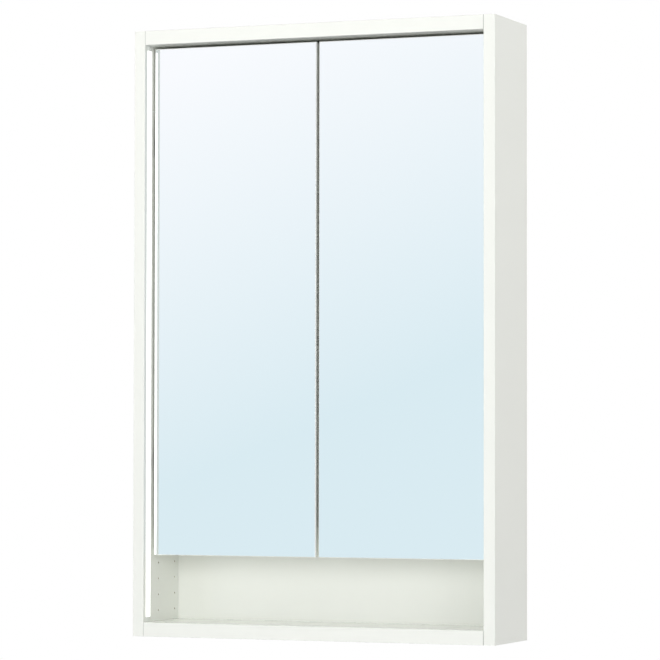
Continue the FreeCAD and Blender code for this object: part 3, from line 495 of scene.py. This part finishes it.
def circuit(name, ground, trace, width):
    """Solder mask with the copper tracks showing through as a paler grid."""
    material, tree, shader = new_finish(name)
    tracks = add(tree, "ShaderNodeTexBrick", {"Vector": object_place(tree), "Scale": 1 / width,
                                              "Color1": ground, "Color2": ground, "Mortar": trace,
                                              "Mortar Size": 0.06})
    feed(tree, shader.inputs["Base Color"], tracks.outputs["Color"])
    shader.inputs["Roughness"].default_value = 0.38
    bump(tree, shader, tracks.outputs["Fac"], 0.03 * MM)
    return material


def circuit_white(node):
    return circuit("led_board_" + node, MASK_WHITE, CHIP_BODY, width=8 * MM)


def circuit_green(node):
    return circuit("driver_board_" + node, MASK_GREEN, TRACE_GREEN, width=5 * MM)


def led_phosphor(node):
    material, tree, shader = new_finish("phosphor_" + node)
    grain = placed(tree, FINE_GRAIN, {"Vector": object_place(tree), "Scale": 5000.0})
    feed(tree, shader.inputs["Base Color"], mixed(tree, grain["Tone"], CHIP_BODY, PHOSPHOR))
    shader.inputs["Emission Color"].default_value = LAMP_WHITE
    shader.inputs["Emission Strength"].default_value = 0.6
    shader.inputs["Roughness"].default_value = 0.5
    return material


FINISHES = {
    "white_board": foil_board,
    "white_hardboard": hard_board,
    "raw_chipboard": raw_chipboard,
    "mirror": mirror,
    "clear_glass": clear_glass,
    "opal_diffuser": opal_diffuser,
    "anodised_aluminium": aluminium,
    "circuit_white": circuit_white,
    "led_phosphor": led_phosphor,
    "white_plastic": white_plastic,
    "grey_plastic": grey_plastic,
    "cable_jacket": cable_jacket,
    "circuit_green": circuit_green,
    "black_nylon": black_nylon,
    "nickel_steel": nickel_steel,
    "zinc_steel": zinc_steel,
    "beech": beech,
    "clear_rubber": clear_rubber,
}


def finish_nodes():
    for name, piece in NODES.items():
        material = FINISHES[SLOT_OF[name]](name)
        for slot in piece.material_slots:
            slot.material = material


# Modelling by hand

CORNER_STEPS = 6
ROD_SIDES = 40
EASED = 0.2 * MM
EASED_ANGLE = math.radians(40)
SMOOTH_ANGLE = math.radians(35)
FLAT_ANGLE = math.radians(1)
FACING = 0.9            # least part of a normal along an axis, for a face that looks that way
STRAIGHT = 0.99         # least part of an edge along an axis, for an edge that runs that way
NEARLY_ROUND = 0.98     # part of a half round, so that the points of its two corners stay apart
WELD = 0.001 * MM
SPARE = 1.0 * MM
TURNS = {"X": (0, math.pi / 2, 0), "Y": (math.pi / 2, 0, 0), "Z": (0, 0, 0)}


def choose(piece):
    """Makes a piece the only one selected, and the active one."""
    bpy.ops.object.select_all(action="DESELECT")
    piece.select_set(True)
    bpy.context.view_layer.objects.active = piece


def settled(piece, name):
    """Names a piece and carries its place, turn and size into its mesh."""
    piece.name = name
    choose(piece)
    bpy.ops.object.transform_apply(location=True, rotation=True, scale=True)
    return piece


def block(name, low, high):
    low, high = Vector(low), Vector(high)
    bpy.ops.object.select_all(action="DESELECT")
    bpy.ops.mesh.primitive_cube_add(size=1, location=(low + high) / 2, scale=high - low)
    return settled(bpy.context.object, name)


def rod(name, middle, along, length, radius, sides=ROD_SIDES):
    bpy.ops.object.select_all(action="DESELECT")
    bpy.ops.mesh.primitive_cylinder_add(vertices=sides, radius=radius, depth=length, location=middle,
                                        rotation=TURNS[along])
    return settled(bpy.context.object, name)


def open_chosen(piece, kind, wanted):
    """Opens a piece for editing. A face is chosen by its centre and normal, an edge by its two ends."""
    choose(piece)
    bpy.ops.object.mode_set(mode="EDIT")
    bpy.ops.mesh.select_mode(type=kind)
    bpy.ops.mesh.select_all(action="DESELECT")
    bpy.ops.object.mode_set(mode="OBJECT")
    points = piece.data.vertices
    if kind == "FACE":
        for face in piece.data.polygons:
            face.select = wanted(face.center, face.normal)
    else:
        for edge in piece.data.edges:
            edge.select = wanted(*(points[index].co for index in edge.vertices))
    bpy.ops.object.mode_set(mode="EDIT")


def close():
    bpy.ops.object.mode_set(mode="OBJECT")


def draw_out(way):
    """Draws the chosen faces out of the piece that is open."""
    bpy.ops.mesh.extrude_region_move(TRANSFORM_OT_translate={"value": way})


def pull(piece, wanted, way):
    """Draws the wanted faces out of a piece."""
    open_chosen(piece, "FACE", wanted)
    draw_out(way)
    close()


def rounded(piece, along, radius, wanted=lambda middle: True):
    """Rounds the edges that run along an axis, or those of them that are wanted."""
    axis = "XYZ".index(along)

    def runs_along(start, end):
        straight = abs(end[axis] - start[axis]) > STRAIGHT * (end - start).length
        return straight and wanted((start + end) / 2)

    open_chosen(piece, "EDGE", runs_along)
    bpy.ops.mesh.bevel(offset=radius, segments=CORNER_STEPS, affect="EDGES")
    close()


def combined(piece, other, operation):
    """Joins another piece to this one or cuts it out. The other one is used up."""
    choose(piece)
    change = piece.modifiers.new("combined", "BOOLEAN")
    change.operation = operation
    change.solver = "EXACT"
    change.object = other
    bpy.ops.object.modifier_apply(modifier=change.name)
    bpy.data.objects.remove(other)


def eased(piece, width=EASED):
    """Takes the sharpness off a piece's edges."""
    choose(piece)
    change = piece.modifiers.new("eased", "BEVEL")
    change.width = width
    change.segments = 2
    change.limit_method = "ANGLE"
    change.angle_limit = EASED_ANGLE
    bpy.ops.object.modifier_apply(modifier=change.name)


def mended(piece, flatten=False):
    """Welds doubled points, joins flat faces where wanted, and turns all faces outward."""
    open_chosen(piece, "FACE", lambda centre, normal: True)
    bpy.ops.mesh.remove_doubles(threshold=WELD)
    if flatten:
        bpy.ops.mesh.dissolve_limited(angle_limit=FLAT_ANGLE)
    bpy.ops.mesh.normals_make_consistent(inside=False)
    close()
    return piece


def copied(piece, name, shift=(0, 0, 0), turn=0.0, other_side=False):
    """A copy with its own mesh, turned about Z, shifted and then, if wanted, set on the other side."""
    choose(piece)
    bpy.ops.object.duplicate()
    copy = bpy.context.object
    side = Matrix.Diagonal((-1 if other_side else 1, 1, 1, 1))
    copy.matrix_world = side @ Matrix.Translation(shift) @ Matrix.Rotation(math.radians(turn), 4, "Z")
    return mended(settled(copy, name))


def joined(pieces, name):
    """Several copies made into one piece."""
    choose(pieces[0])
    for piece in pieces:
        piece.select_set(True)
    bpy.ops.object.join()
    pieces[0].name = name
    return pieces[0]


def stand_for(piece, body, node):
    """Finishes a modelled piece and shows it in place of the plain solid."""
    choose(piece)
    bpy.ops.object.shade_smooth_by_angle(angle=SMOOTH_ANGLE)
    slot = SLOT_OF[node]
    piece.data.materials.clear()
    piece.data.materials.append(FINISHES[slot](piece.name))
    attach(piece, body)
    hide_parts(node)


def middle_of(node):
    low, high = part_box(node)
    return (low + high) / 2


# Hinges: one is modelled, the lower left, and the others are copies of it

AXIS = middle_of("left_lower_hinge_pin")
HINGE_RISE = middle_of("left_upper_hinge_pin").z - AXIS.z
CUP_FLANGE = 1.5 * MM
CUP_HALF = 18 * MM
CUP_HOLLOW_HALF = 13 * MM
CUP_WALL = 1.2 * MM
FLANGE_CORNER = 5 * MM
SLOT_HALF = 5 * MM
SLOT_REACH = 4 * MM
ARM_THICKNESS = 3 * MM
ARM_BEND = 2.2 * MM
NECK_LENGTH = 17 * MM
EYE_RADIUS = 3.5 * MM
BORE_RADIUS = 1.55 * MM
ADJUSTING_SLOT = Vector((0, 4.6, 1.95)) * MM
FOOT_ROUNDING = 0.48    # part of the arm's height
SPINE_HALF = 7 * MM
SPINE_CORNER = 0.4 * SPINE_HALF


def hinge_cup():
    """The cup in the door: a flange with round corners, a hollow body, and a slot for the arm."""
    low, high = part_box("left_lower_hinge_cup")
    rear = high.y - CUP_FLANGE
    cup = block("cup", (low.x, rear, low.z), high)
    rounded(cup, "Y", FLANGE_CORNER)
    body = block("body", (low.x, low.y, AXIS.z - CUP_HALF),
                 (high.x, rear + CUP_FLANGE / 2, AXIS.z + CUP_HALF))
    rounded(body, "Y", FLANGE_CORNER)
    combined(cup, body, "UNION")
    hollow = block("hollow", (low.x + CUP_WALL, low.y + CUP_WALL, AXIS.z - CUP_HOLLOW_HALF),
                   (high.x - CUP_WALL, high.y + SPARE, AXIS.z + CUP_HOLLOW_HALF))
    rounded(hollow, "Y", FLANGE_CORNER - CUP_WALL)
    combined(cup, hollow, "DIFFERENCE")
    slot = block("slot", (low.x - SPARE, low.y - SPARE, AXIS.z - SLOT_HALF),
                 (AXIS.x + SLOT_REACH, high.y + SPARE, AXIS.z + SLOT_HALF))
    combined(cup, slot, "DIFFERENCE")
    eased(cup)
    return cup


def hinge_arm():
    """The arm: an eye on the pin, a neck, a strap across to the side and a foot with its screw's slot."""
    low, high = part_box("left_lower_hinge_arm")
    half = ARM_THICKNESS / 2
    strap = AXIS.y + NECK_LENGTH
    inner = low.x + ARM_THICKNESS
    foot_length = high.y - strap - ARM_THICKNESS

    def ends_strap(centre, normal):
        return normal.x < -FACING and centre.y > strap

    arm = block("arm", (AXIS.x - half, AXIS.y, low.z), (AXIS.x + half, strap, high.z))
    pull(arm, lambda centre, normal: normal.y > FACING, (0, ARM_THICKNESS, 0))
    pull(arm, ends_strap, (inner - (AXIS.x - half), 0, 0))
    pull(arm, ends_strap, (-ARM_THICKNESS, 0, 0))
    pull(arm, lambda centre, normal: normal.y > FACING and centre.x < inner, (0, foot_length, 0))
    rounded(arm, "X", FOOT_ROUNDING * (high.z - low.z), lambda middle: middle.y > high.y - SPARE)
    rounded(arm, "Z", ARM_BEND, lambda middle: middle.x > AXIS.x and middle.y > strap)
    rounded(arm, "Z", ARM_BEND, lambda middle: middle.x < inner - half and middle.y < strap + half)
    combined(arm, rod("eye", AXIS, "Z", high.z - low.z, EYE_RADIUS), "UNION")
    combined(arm, rod("bore", AXIS, "Z", 2 * (high.z - low.z), BORE_RADIUS), "DIFFERENCE")
    screw_place = Vector((inner - half, (strap + high.y) / 2, AXIS.z))
    reach = ADJUSTING_SLOT + Vector((ARM_THICKNESS, 0, 0))
    slot = block("slot", screw_place - reach, screw_place + reach)
    rounded(slot, "X", NEARLY_ROUND * ADJUSTING_SLOT.z)
    combined(arm, slot, "DIFFERENCE")
    eased(arm)
    return arm


def hinge_plate():
    """The plate on the side: a spine under the arm's foot with a round-ended wing at each screw."""
    low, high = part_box("left_lower_hinge_plate")
    middle = (low + high) / 2
    plate = block("plate", (low.x, low.y, middle.z - SPINE_HALF),
                  (high.x, high.y, middle.z + SPINE_HALF))
    rounded(plate, "X", SPINE_CORNER)
    wings = block("wings", (low.x, middle.y - SPINE_HALF, low.z),
                  (high.x, middle.y + SPINE_HALF, high.z))
    rounded(wings, "X", NEARLY_ROUND * SPINE_HALF)
    combined(plate, wings, "UNION")
    eased(plate)
    return plate


def make_hinges():
    models = {"cup": hinge_cup(), "arm": hinge_arm(), "plate": hinge_plate()}
    for side in ("left", "right"):
        for level, rise in (("lower", 0), ("upper", HINGE_RISE)):
            for kind, model in models.items():
                node = f"{side}_{level}_hinge_{kind}"
                piece = copied(model, node + "_shaped", (0, 0, rise), 0, side == "right")
                stand_for(piece, side + "_door" if kind == "cup" else "cabinet", node)
    for model in models.values():
        bpy.data.objects.remove(model)


# Screws

HEAD_RADIUS = 3.5 * MM
HEAD_HEIGHT = 2.2 * MM
HEAD_DOME = 1.3 * MM
RIM = 0.2 * MM
SHANK_RADIUS = 1.75 * MM
SHANK_TIP = 2.5 * MM
TIP_SHARE = 0.25
RECESS_HALF = Vector((1.3, 1.9, 0.42)) * MM
ARM_SHANK = 5.5 * MM
PLATE_SHANK = 14 * MM
CUP_SHANK = 10.5 * MM
PLATE_SCREW_INSET = 5.6 * MM
CUP_SCREW_ACROSS = 24.5 * MM
CUP_SCREW_INSET = 4.5 * MM


def screw(shank):
    """A pan-head screw along X, the seat of its head at the origin: domed head, cross recess, drawn tip."""
    piece = rod("screw", (HEAD_HEIGHT / 2, 0, 0), "X", HEAD_HEIGHT, HEAD_RADIUS)
    open_chosen(piece, "FACE", lambda centre, normal: normal.x < -FACING)
    bpy.ops.mesh.inset(thickness=HEAD_RADIUS - SHANK_RADIUS)
    draw_out((SHANK_TIP - shank, 0, 0))
    draw_out((-SHANK_TIP, 0, 0))
    bpy.ops.transform.resize(value=(1, TIP_SHARE, TIP_SHARE), center_override=(-shank, 0, 0))
    close()
    open_chosen(piece, "EDGE", lambda start, end: min(start.x, end.x) > HEAD_HEIGHT - RIM)
    bpy.ops.mesh.bevel(offset=HEAD_DOME, segments=4, affect="EDGES")
    close()
    deep, long, thin = RECESS_HALF
    top = Vector((HEAD_HEIGHT, 0, 0))
    for half in ((deep, long, thin), (deep, thin, long)):
        combined(piece, block("recess", top - Vector(half), top + Vector(half)), "DIFFERENCE")
    return piece


def set_screws(node, body, model, places, turn, sides):
    """Copies a screw to its places on the wanted sides, as one piece for the node that holds them all."""
    copies = []
    for place in places:
        for rise in (0, HINGE_RISE):
            for other_side in sides:
                shift = place + Vector((0, 0, rise))
                copies.append(copied(model, "screw_copy", shift, turn, other_side))
    bpy.data.objects.remove(model)
    stand_for(joined(copies, node + "_shaped"), body, node)


def make_screws():
    arm_low, arm_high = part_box("left_lower_hinge_arm")
    plate_low, plate_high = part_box("left_lower_hinge_plate")
    cup_low, cup_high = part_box("left_lower_hinge_cup")
    foot_middle = (AXIS.y + NECK_LENGTH + arm_high.y) / 2
    plate_middle = (plate_low.y + plate_high.y) / 2
    on_arm = [Vector((arm_low.x + ARM_THICKNESS, foot_middle, AXIS.z))]
    on_plate = [Vector((plate_high.x, plate_middle, plate_low.z + PLATE_SCREW_INSET)),
                Vector((plate_high.x, plate_middle, plate_high.z - PLATE_SCREW_INSET))]
    on_cup = [Vector((cup_low.x + CUP_SCREW_ACROSS, cup_high.y, cup_low.z + CUP_SCREW_INSET)),
              Vector((cup_low.x + CUP_SCREW_ACROSS, cup_high.y, cup_high.z - CUP_SCREW_INSET))]
    set_screws("hinge_arm_screws", "cabinet", screw(ARM_SHANK), on_arm, 0, (False, True))
    set_screws("hinge_plate_screws", "cabinet", screw(PLATE_SHANK), on_plate, 0, (False, True))
    set_screws("left_hinge_cup_screws", "left_door", screw(CUP_SHANK), on_cup, 90, (False,))
    set_screws("right_hinge_cup_screws", "right_door", screw(CUP_SHANK), on_cup, 90, (True,))


# Small pieces

LID_CORNER = 3 * MM
VENT_COUNT = 9
VENT_PITCH = 12 * MM
VENT_HALF = Vector((1.5, 2.0, 9.0)) * MM
GLAND_SIDES = 24
GLAND_RIB = 0.55 * MM
GLAND_BORE = 3.2 * MM
BUFFER_RADIUS = 4.5 * MM
BUFFER_LENGTH = 8 * MM
BUFFER_DOME = 2.6 * MM
PEG_RADIUS = 2.25 * MM


def make_driver_lid():
    """The lid of the lamp driver, with round corners and a row of vents."""
    low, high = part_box("driver_lid")
    middle = (low + high) / 2
    lid = block("driver_lid_shaped", low, high)
    rounded(lid, "Y", LID_CORNER)
    for number in range(VENT_COUNT):
        place = middle + Vector(((number - (VENT_COUNT - 1) / 2) * VENT_PITCH, 0, 0))
        vent = block("vent", place - VENT_HALF, place + VENT_HALF)
        rounded(vent, "Y", NEARLY_ROUND * VENT_HALF.x)
        combined(lid, vent, "DIFFERENCE")
    eased(lid)
    stand_for(lid, "cabinet", "driver_lid")


def make_gland():
    """The gland for the supply cord, its lower half ribbed for the fingers."""
    low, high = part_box("mains_gland")
    middle = (low + high) / 2
    core = (high.x - low.x) / 2 - GLAND_RIB
    gland = rod("mains_gland_shaped", middle, "Z", high.z - low.z, core, GLAND_SIDES)
    open_chosen(gland, "FACE", lambda centre, normal: True)
    bpy.ops.mesh.bisect(plane_co=middle, plane_no=(0, 0, 1))
    close()

    def is_rib(centre, normal):
        turn = math.atan2(centre.y - middle.y, centre.x - middle.x) * GLAND_SIDES / math.tau
        upright = abs(normal.z) < 1 - FACING
        return upright and centre.z < middle.z and math.floor(turn) % 2 == 0

    open_chosen(gland, "FACE", is_rib)
    bpy.ops.mesh.extrude_faces_move(TRANSFORM_OT_shrink_fatten={"value": GLAND_RIB})
    close()
    combined(gland, rod("bore", middle, "Z", 2 * (high.z - low.z), GLAND_BORE), "DIFFERENCE")
    eased(gland)
    stand_for(gland, "cabinet", "mains_gland")


def make_buffers():
    """The soft stops behind the doors: a domed pad on a peg."""
    low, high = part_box("door_buffers")
    middle = Vector((low.x + BUFFER_RADIUS, low.y + BUFFER_LENGTH / 2, (low.z + high.z) / 2))
    left = rod("left_buffer", middle, "Y", BUFFER_LENGTH, BUFFER_RADIUS)
    open_chosen(left, "FACE", lambda centre, normal: normal.y > FACING)
    bpy.ops.mesh.inset(thickness=BUFFER_RADIUS - PEG_RADIUS)
    draw_out((0, high.y - low.y - BUFFER_LENGTH, 0))
    close()
    open_chosen(left, "EDGE", lambda start, end: max(start.y, end.y) < low.y + RIM)
    bpy.ops.mesh.bevel(offset=BUFFER_DOME, segments=CORNER_STEPS, affect="EDGES")
    close()
    right = copied(left, "right_buffer", other_side=True)
    stand_for(joined([left, right], "door_buffers_shaped"), "cabinet", "door_buffers")


SOFT_EDGES = {
    "shelf_pins": 0.35 * MM,
    "lead_clips": 0.6 * MM,
    "driver_case": 0.5 * MM,
    "terminal_block": 0.4 * MM,
    "driver_rivets": 0.4 * MM,
    "led_end_caps": 0.3 * MM,
    "left_lead_cover": 0.4 * MM,
    "right_lead_cover": 0.4 * MM,
}


def make_soft_pieces():
    """The small moulded and pressed pieces, copied from their solids with the edges eased."""
    for node, width in SOFT_EDGES.items():
        choose(NODES[node])
        bpy.ops.object.duplicate()
        bpy.ops.object.parent_clear(type="CLEAR_KEEP_TRANSFORM")
        copy = mended(settled(bpy.context.object, node + "_shaped"), flatten=True)
        eased(copy, width)
        stand_for(copy, "cabinet", node)


# Camera, from the photograph's perspective

CAMERA_PLACE = (1.9482, -4.8477, -0.5775)
CAMERA_YAW = 22.183
CAMERA_PITCH = 1.869
CAMERA_ROLL = 0.085
SENSOR = 36.0
FOCAL_LENGTH = 180.66
FAR_END = 60


def make_camera():
    yaw, pitch, roll = (math.radians(angle) for angle in (CAMERA_YAW, CAMERA_PITCH, CAMERA_ROLL))
    forward = Vector((-math.sin(yaw) * math.cos(pitch), math.cos(yaw) * math.cos(pitch), math.sin(pitch)))
    right = Vector((math.cos(yaw), math.sin(yaw), 0))
    up = right.cross(forward)
    across = right * math.cos(roll) + up * math.sin(roll)
    upright = up * math.cos(roll) - right * math.sin(roll)
    lens = bpy.data.cameras.new("view")
    lens.sensor_width = SENSOR
    lens.lens = FOCAL_LENGTH
    lens.clip_end = FAR_END
    camera = bpy.data.objects.new("view", lens)
    bpy.context.scene.collection.objects.link(camera)
    turn = Matrix((across, upright, -forward)).transposed()
    camera.matrix_world = Matrix.Translation(CAMERA_PLACE) @ turn.to_4x4()
    bpy.context.scene.camera = camera


# Studio

LIGHT_BOUNCES = 16
FLOOR_DROP = 1.0
FLOOR_RADIUS = 6.0
FLOOR_SIDES = 96
FLOOR_PALE = (0.84, 0.84, 0.84, 1)
FLOOR_GLOW = 0.6
FADE_START = 0.55 * FLOOR_RADIUS
FADE_END = 0.98 * FLOOR_RADIUS
WHITE = (1, 1, 1, 1)
DAYLIGHT = (0.29, 0.29, 0.28, 1)
CARD_WHITE = (1.0, 1.0, 1.03, 1)
CARD_BLUE = (0.735, 0.862, 0.917, 1)
CARD_START = -0.131
CARD_END = -0.006
CARD_SLANT = 0.43
BACKDROP = (0.62, 0.62, 0.60, 1)
BACKDROP_BLUR = 0.05

# Azimuth and elevation in degrees, distance and size in metres, power in watts
SOFTBOXES = {
    "main_softbox": (8, 5, 4.6, 2.5, 72),
    "bay_softbox": (44, 4, 4.6, 2.5, 39),
    "left_front_softbox": (-31, -7, 4.6, 2.5, 22),
    "overhead_softbox": (-9, 40, 1.7, 0.8, 4.8),
    "right_softbox": (100, 28, 3.0, 1.6, 31),
    "left_softbox": (-100, 30, 3.0, 1.6, 18),
    "rear_softbox": (180, 20, 4.6, 2.5, 50),
}


def make_floor():
    """A pale round floor that fades out towards its rim."""
    bpy.ops.object.select_all(action="DESELECT")
    level = CABINET_LOW.z - FLOOR_DROP
    bpy.ops.mesh.primitive_circle_add(vertices=FLOOR_SIDES, radius=FLOOR_RADIUS, fill_type="NGON",
                                      location=(0, CABINET_MIDDLE.y, level))
    floor = bpy.context.object
    floor.name = "studio_floor"
    material, tree, shader = new_finish("pale_floor")
    shader.inputs["Base Color"].default_value = FLOOR_PALE
    shader.inputs["Roughness"].default_value = 0.9
    ray = add(tree, "ShaderNodeLightPath").outputs
    seen = math_of(tree, "MAXIMUM", ray["Is Camera Ray"],
                   math_of(tree, "MAXIMUM", ray["Is Glossy Ray"], ray["Is Transmission Ray"]))
    glow = add(tree, "ShaderNodeEmission", {"Color": WHITE, "Strength": 1.0})
    lit = add(tree, "ShaderNodeMixShader", {0: math_of(tree, "MULTIPLY", seen, FLOOR_GLOW)})
    tree.links.new(shader.outputs[0], lit.inputs[1])
    tree.links.new(glow.outputs[0], lit.inputs[2])
    from_middle = vectors(tree, "LENGTH", object_place(tree))
    gone = ranged(tree, from_middle, FADE_START, FADE_END)
    faded = add(tree, "ShaderNodeMixShader", {0: gone})
    tree.links.new(lit.outputs[0], faded.inputs[1])
    tree.links.new(add(tree, "ShaderNodeBsdfTransparent").outputs[0], faded.inputs[2])
    tree.links.new(faded.outputs[0], tree.nodes["Material Output"].inputs["Surface"])
    floor.data.materials.append(material)


def make_world():
    """Even daylight. The eye sees white. What shines shows the plain backdrop behind the cabinet, and in
    front of it a card that pales from blue to white."""
    world = bpy.data.worlds.new("studio")
    bpy.context.scene.world = world
    world.use_nodes = True
    tree = world.node_tree
    way = add(tree, "ShaderNodeTexCoord").outputs["Generated"]
    yaw = math.radians(CAMERA_YAW)
    slope = (CARD_SLANT * math.cos(yaw), -CARD_SLANT * math.sin(yaw), -1)
    height = vectors(tree, "DOT_PRODUCT", way, slope)
    card = mixed(tree, ranged(tree, height, CARD_START, CARD_END), CARD_WHITE, CARD_BLUE)
    back = add(tree, "ShaderNodeSeparateXYZ", {"Vector": way}).outputs["Y"]
    around = mixed(tree, ranged(tree, back, -BACKDROP_BLUR, BACKDROP_BLUR), card, BACKDROP)
    ray = add(tree, "ShaderNodeLightPath").outputs
    seen = math_of(tree, "MAXIMUM", ray["Is Camera Ray"], ray["Is Transmission Ray"])
    colour = mixed(tree, seen, mixed(tree, ray["Is Glossy Ray"], DAYLIGHT, around), WHITE)
    feed(tree, tree.nodes["Background"].inputs["Color"], colour)


def make_lamp(name, place, aim, size, power):
    """A round softbox that the eye and the mirrors don't see."""
    light = bpy.data.lights.new(name, "AREA")
    light.shape = "DISK"
    light.size = size
    light.energy = power
    lamp = bpy.data.objects.new(name, light)
    bpy.context.scene.collection.objects.link(lamp)
    lamp.location = place
    lamp.rotation_euler = (aim - place).to_track_quat("-Z", "Y").to_euler()
    lamp.visible_camera = False
    lamp.visible_glossy = False


def make_softbox(name, azimuth, elevation, distance, size, power):
    """A softbox aimed at the cabinet. Azimuth 0 is straight in front, 90 at its right."""
    across, up = math.radians(azimuth), math.radians(elevation)
    way = Vector((math.sin(across) * math.cos(up), -math.cos(across) * math.cos(up), math.sin(up)))
    make_lamp(name, CABINET_MIDDLE + way * distance, CABINET_MIDDLE, size, power)


def make_lamps():
    for name, softbox in SOFTBOXES.items():
        make_softbox(name, *softbox)


def set_bounces():
    """Between white boards light bounces many times before it fades."""
    paths = bpy.context.scene.cycles
    paths.max_bounces = LIGHT_BOUNCES
    paths.diffuse_bounces = LIGHT_BOUNCES
    paths.glossy_bounces = LIGHT_BOUNCES


finish_nodes()
make_hinges()
make_screws()
make_driver_lid()
make_gland()
make_buffers()
make_soft_pieces()
make_floor()
make_world()
make_lamps()
set_bounces()
make_camera()
bpy.context.scene.view_settings.view_transform = "Standard"
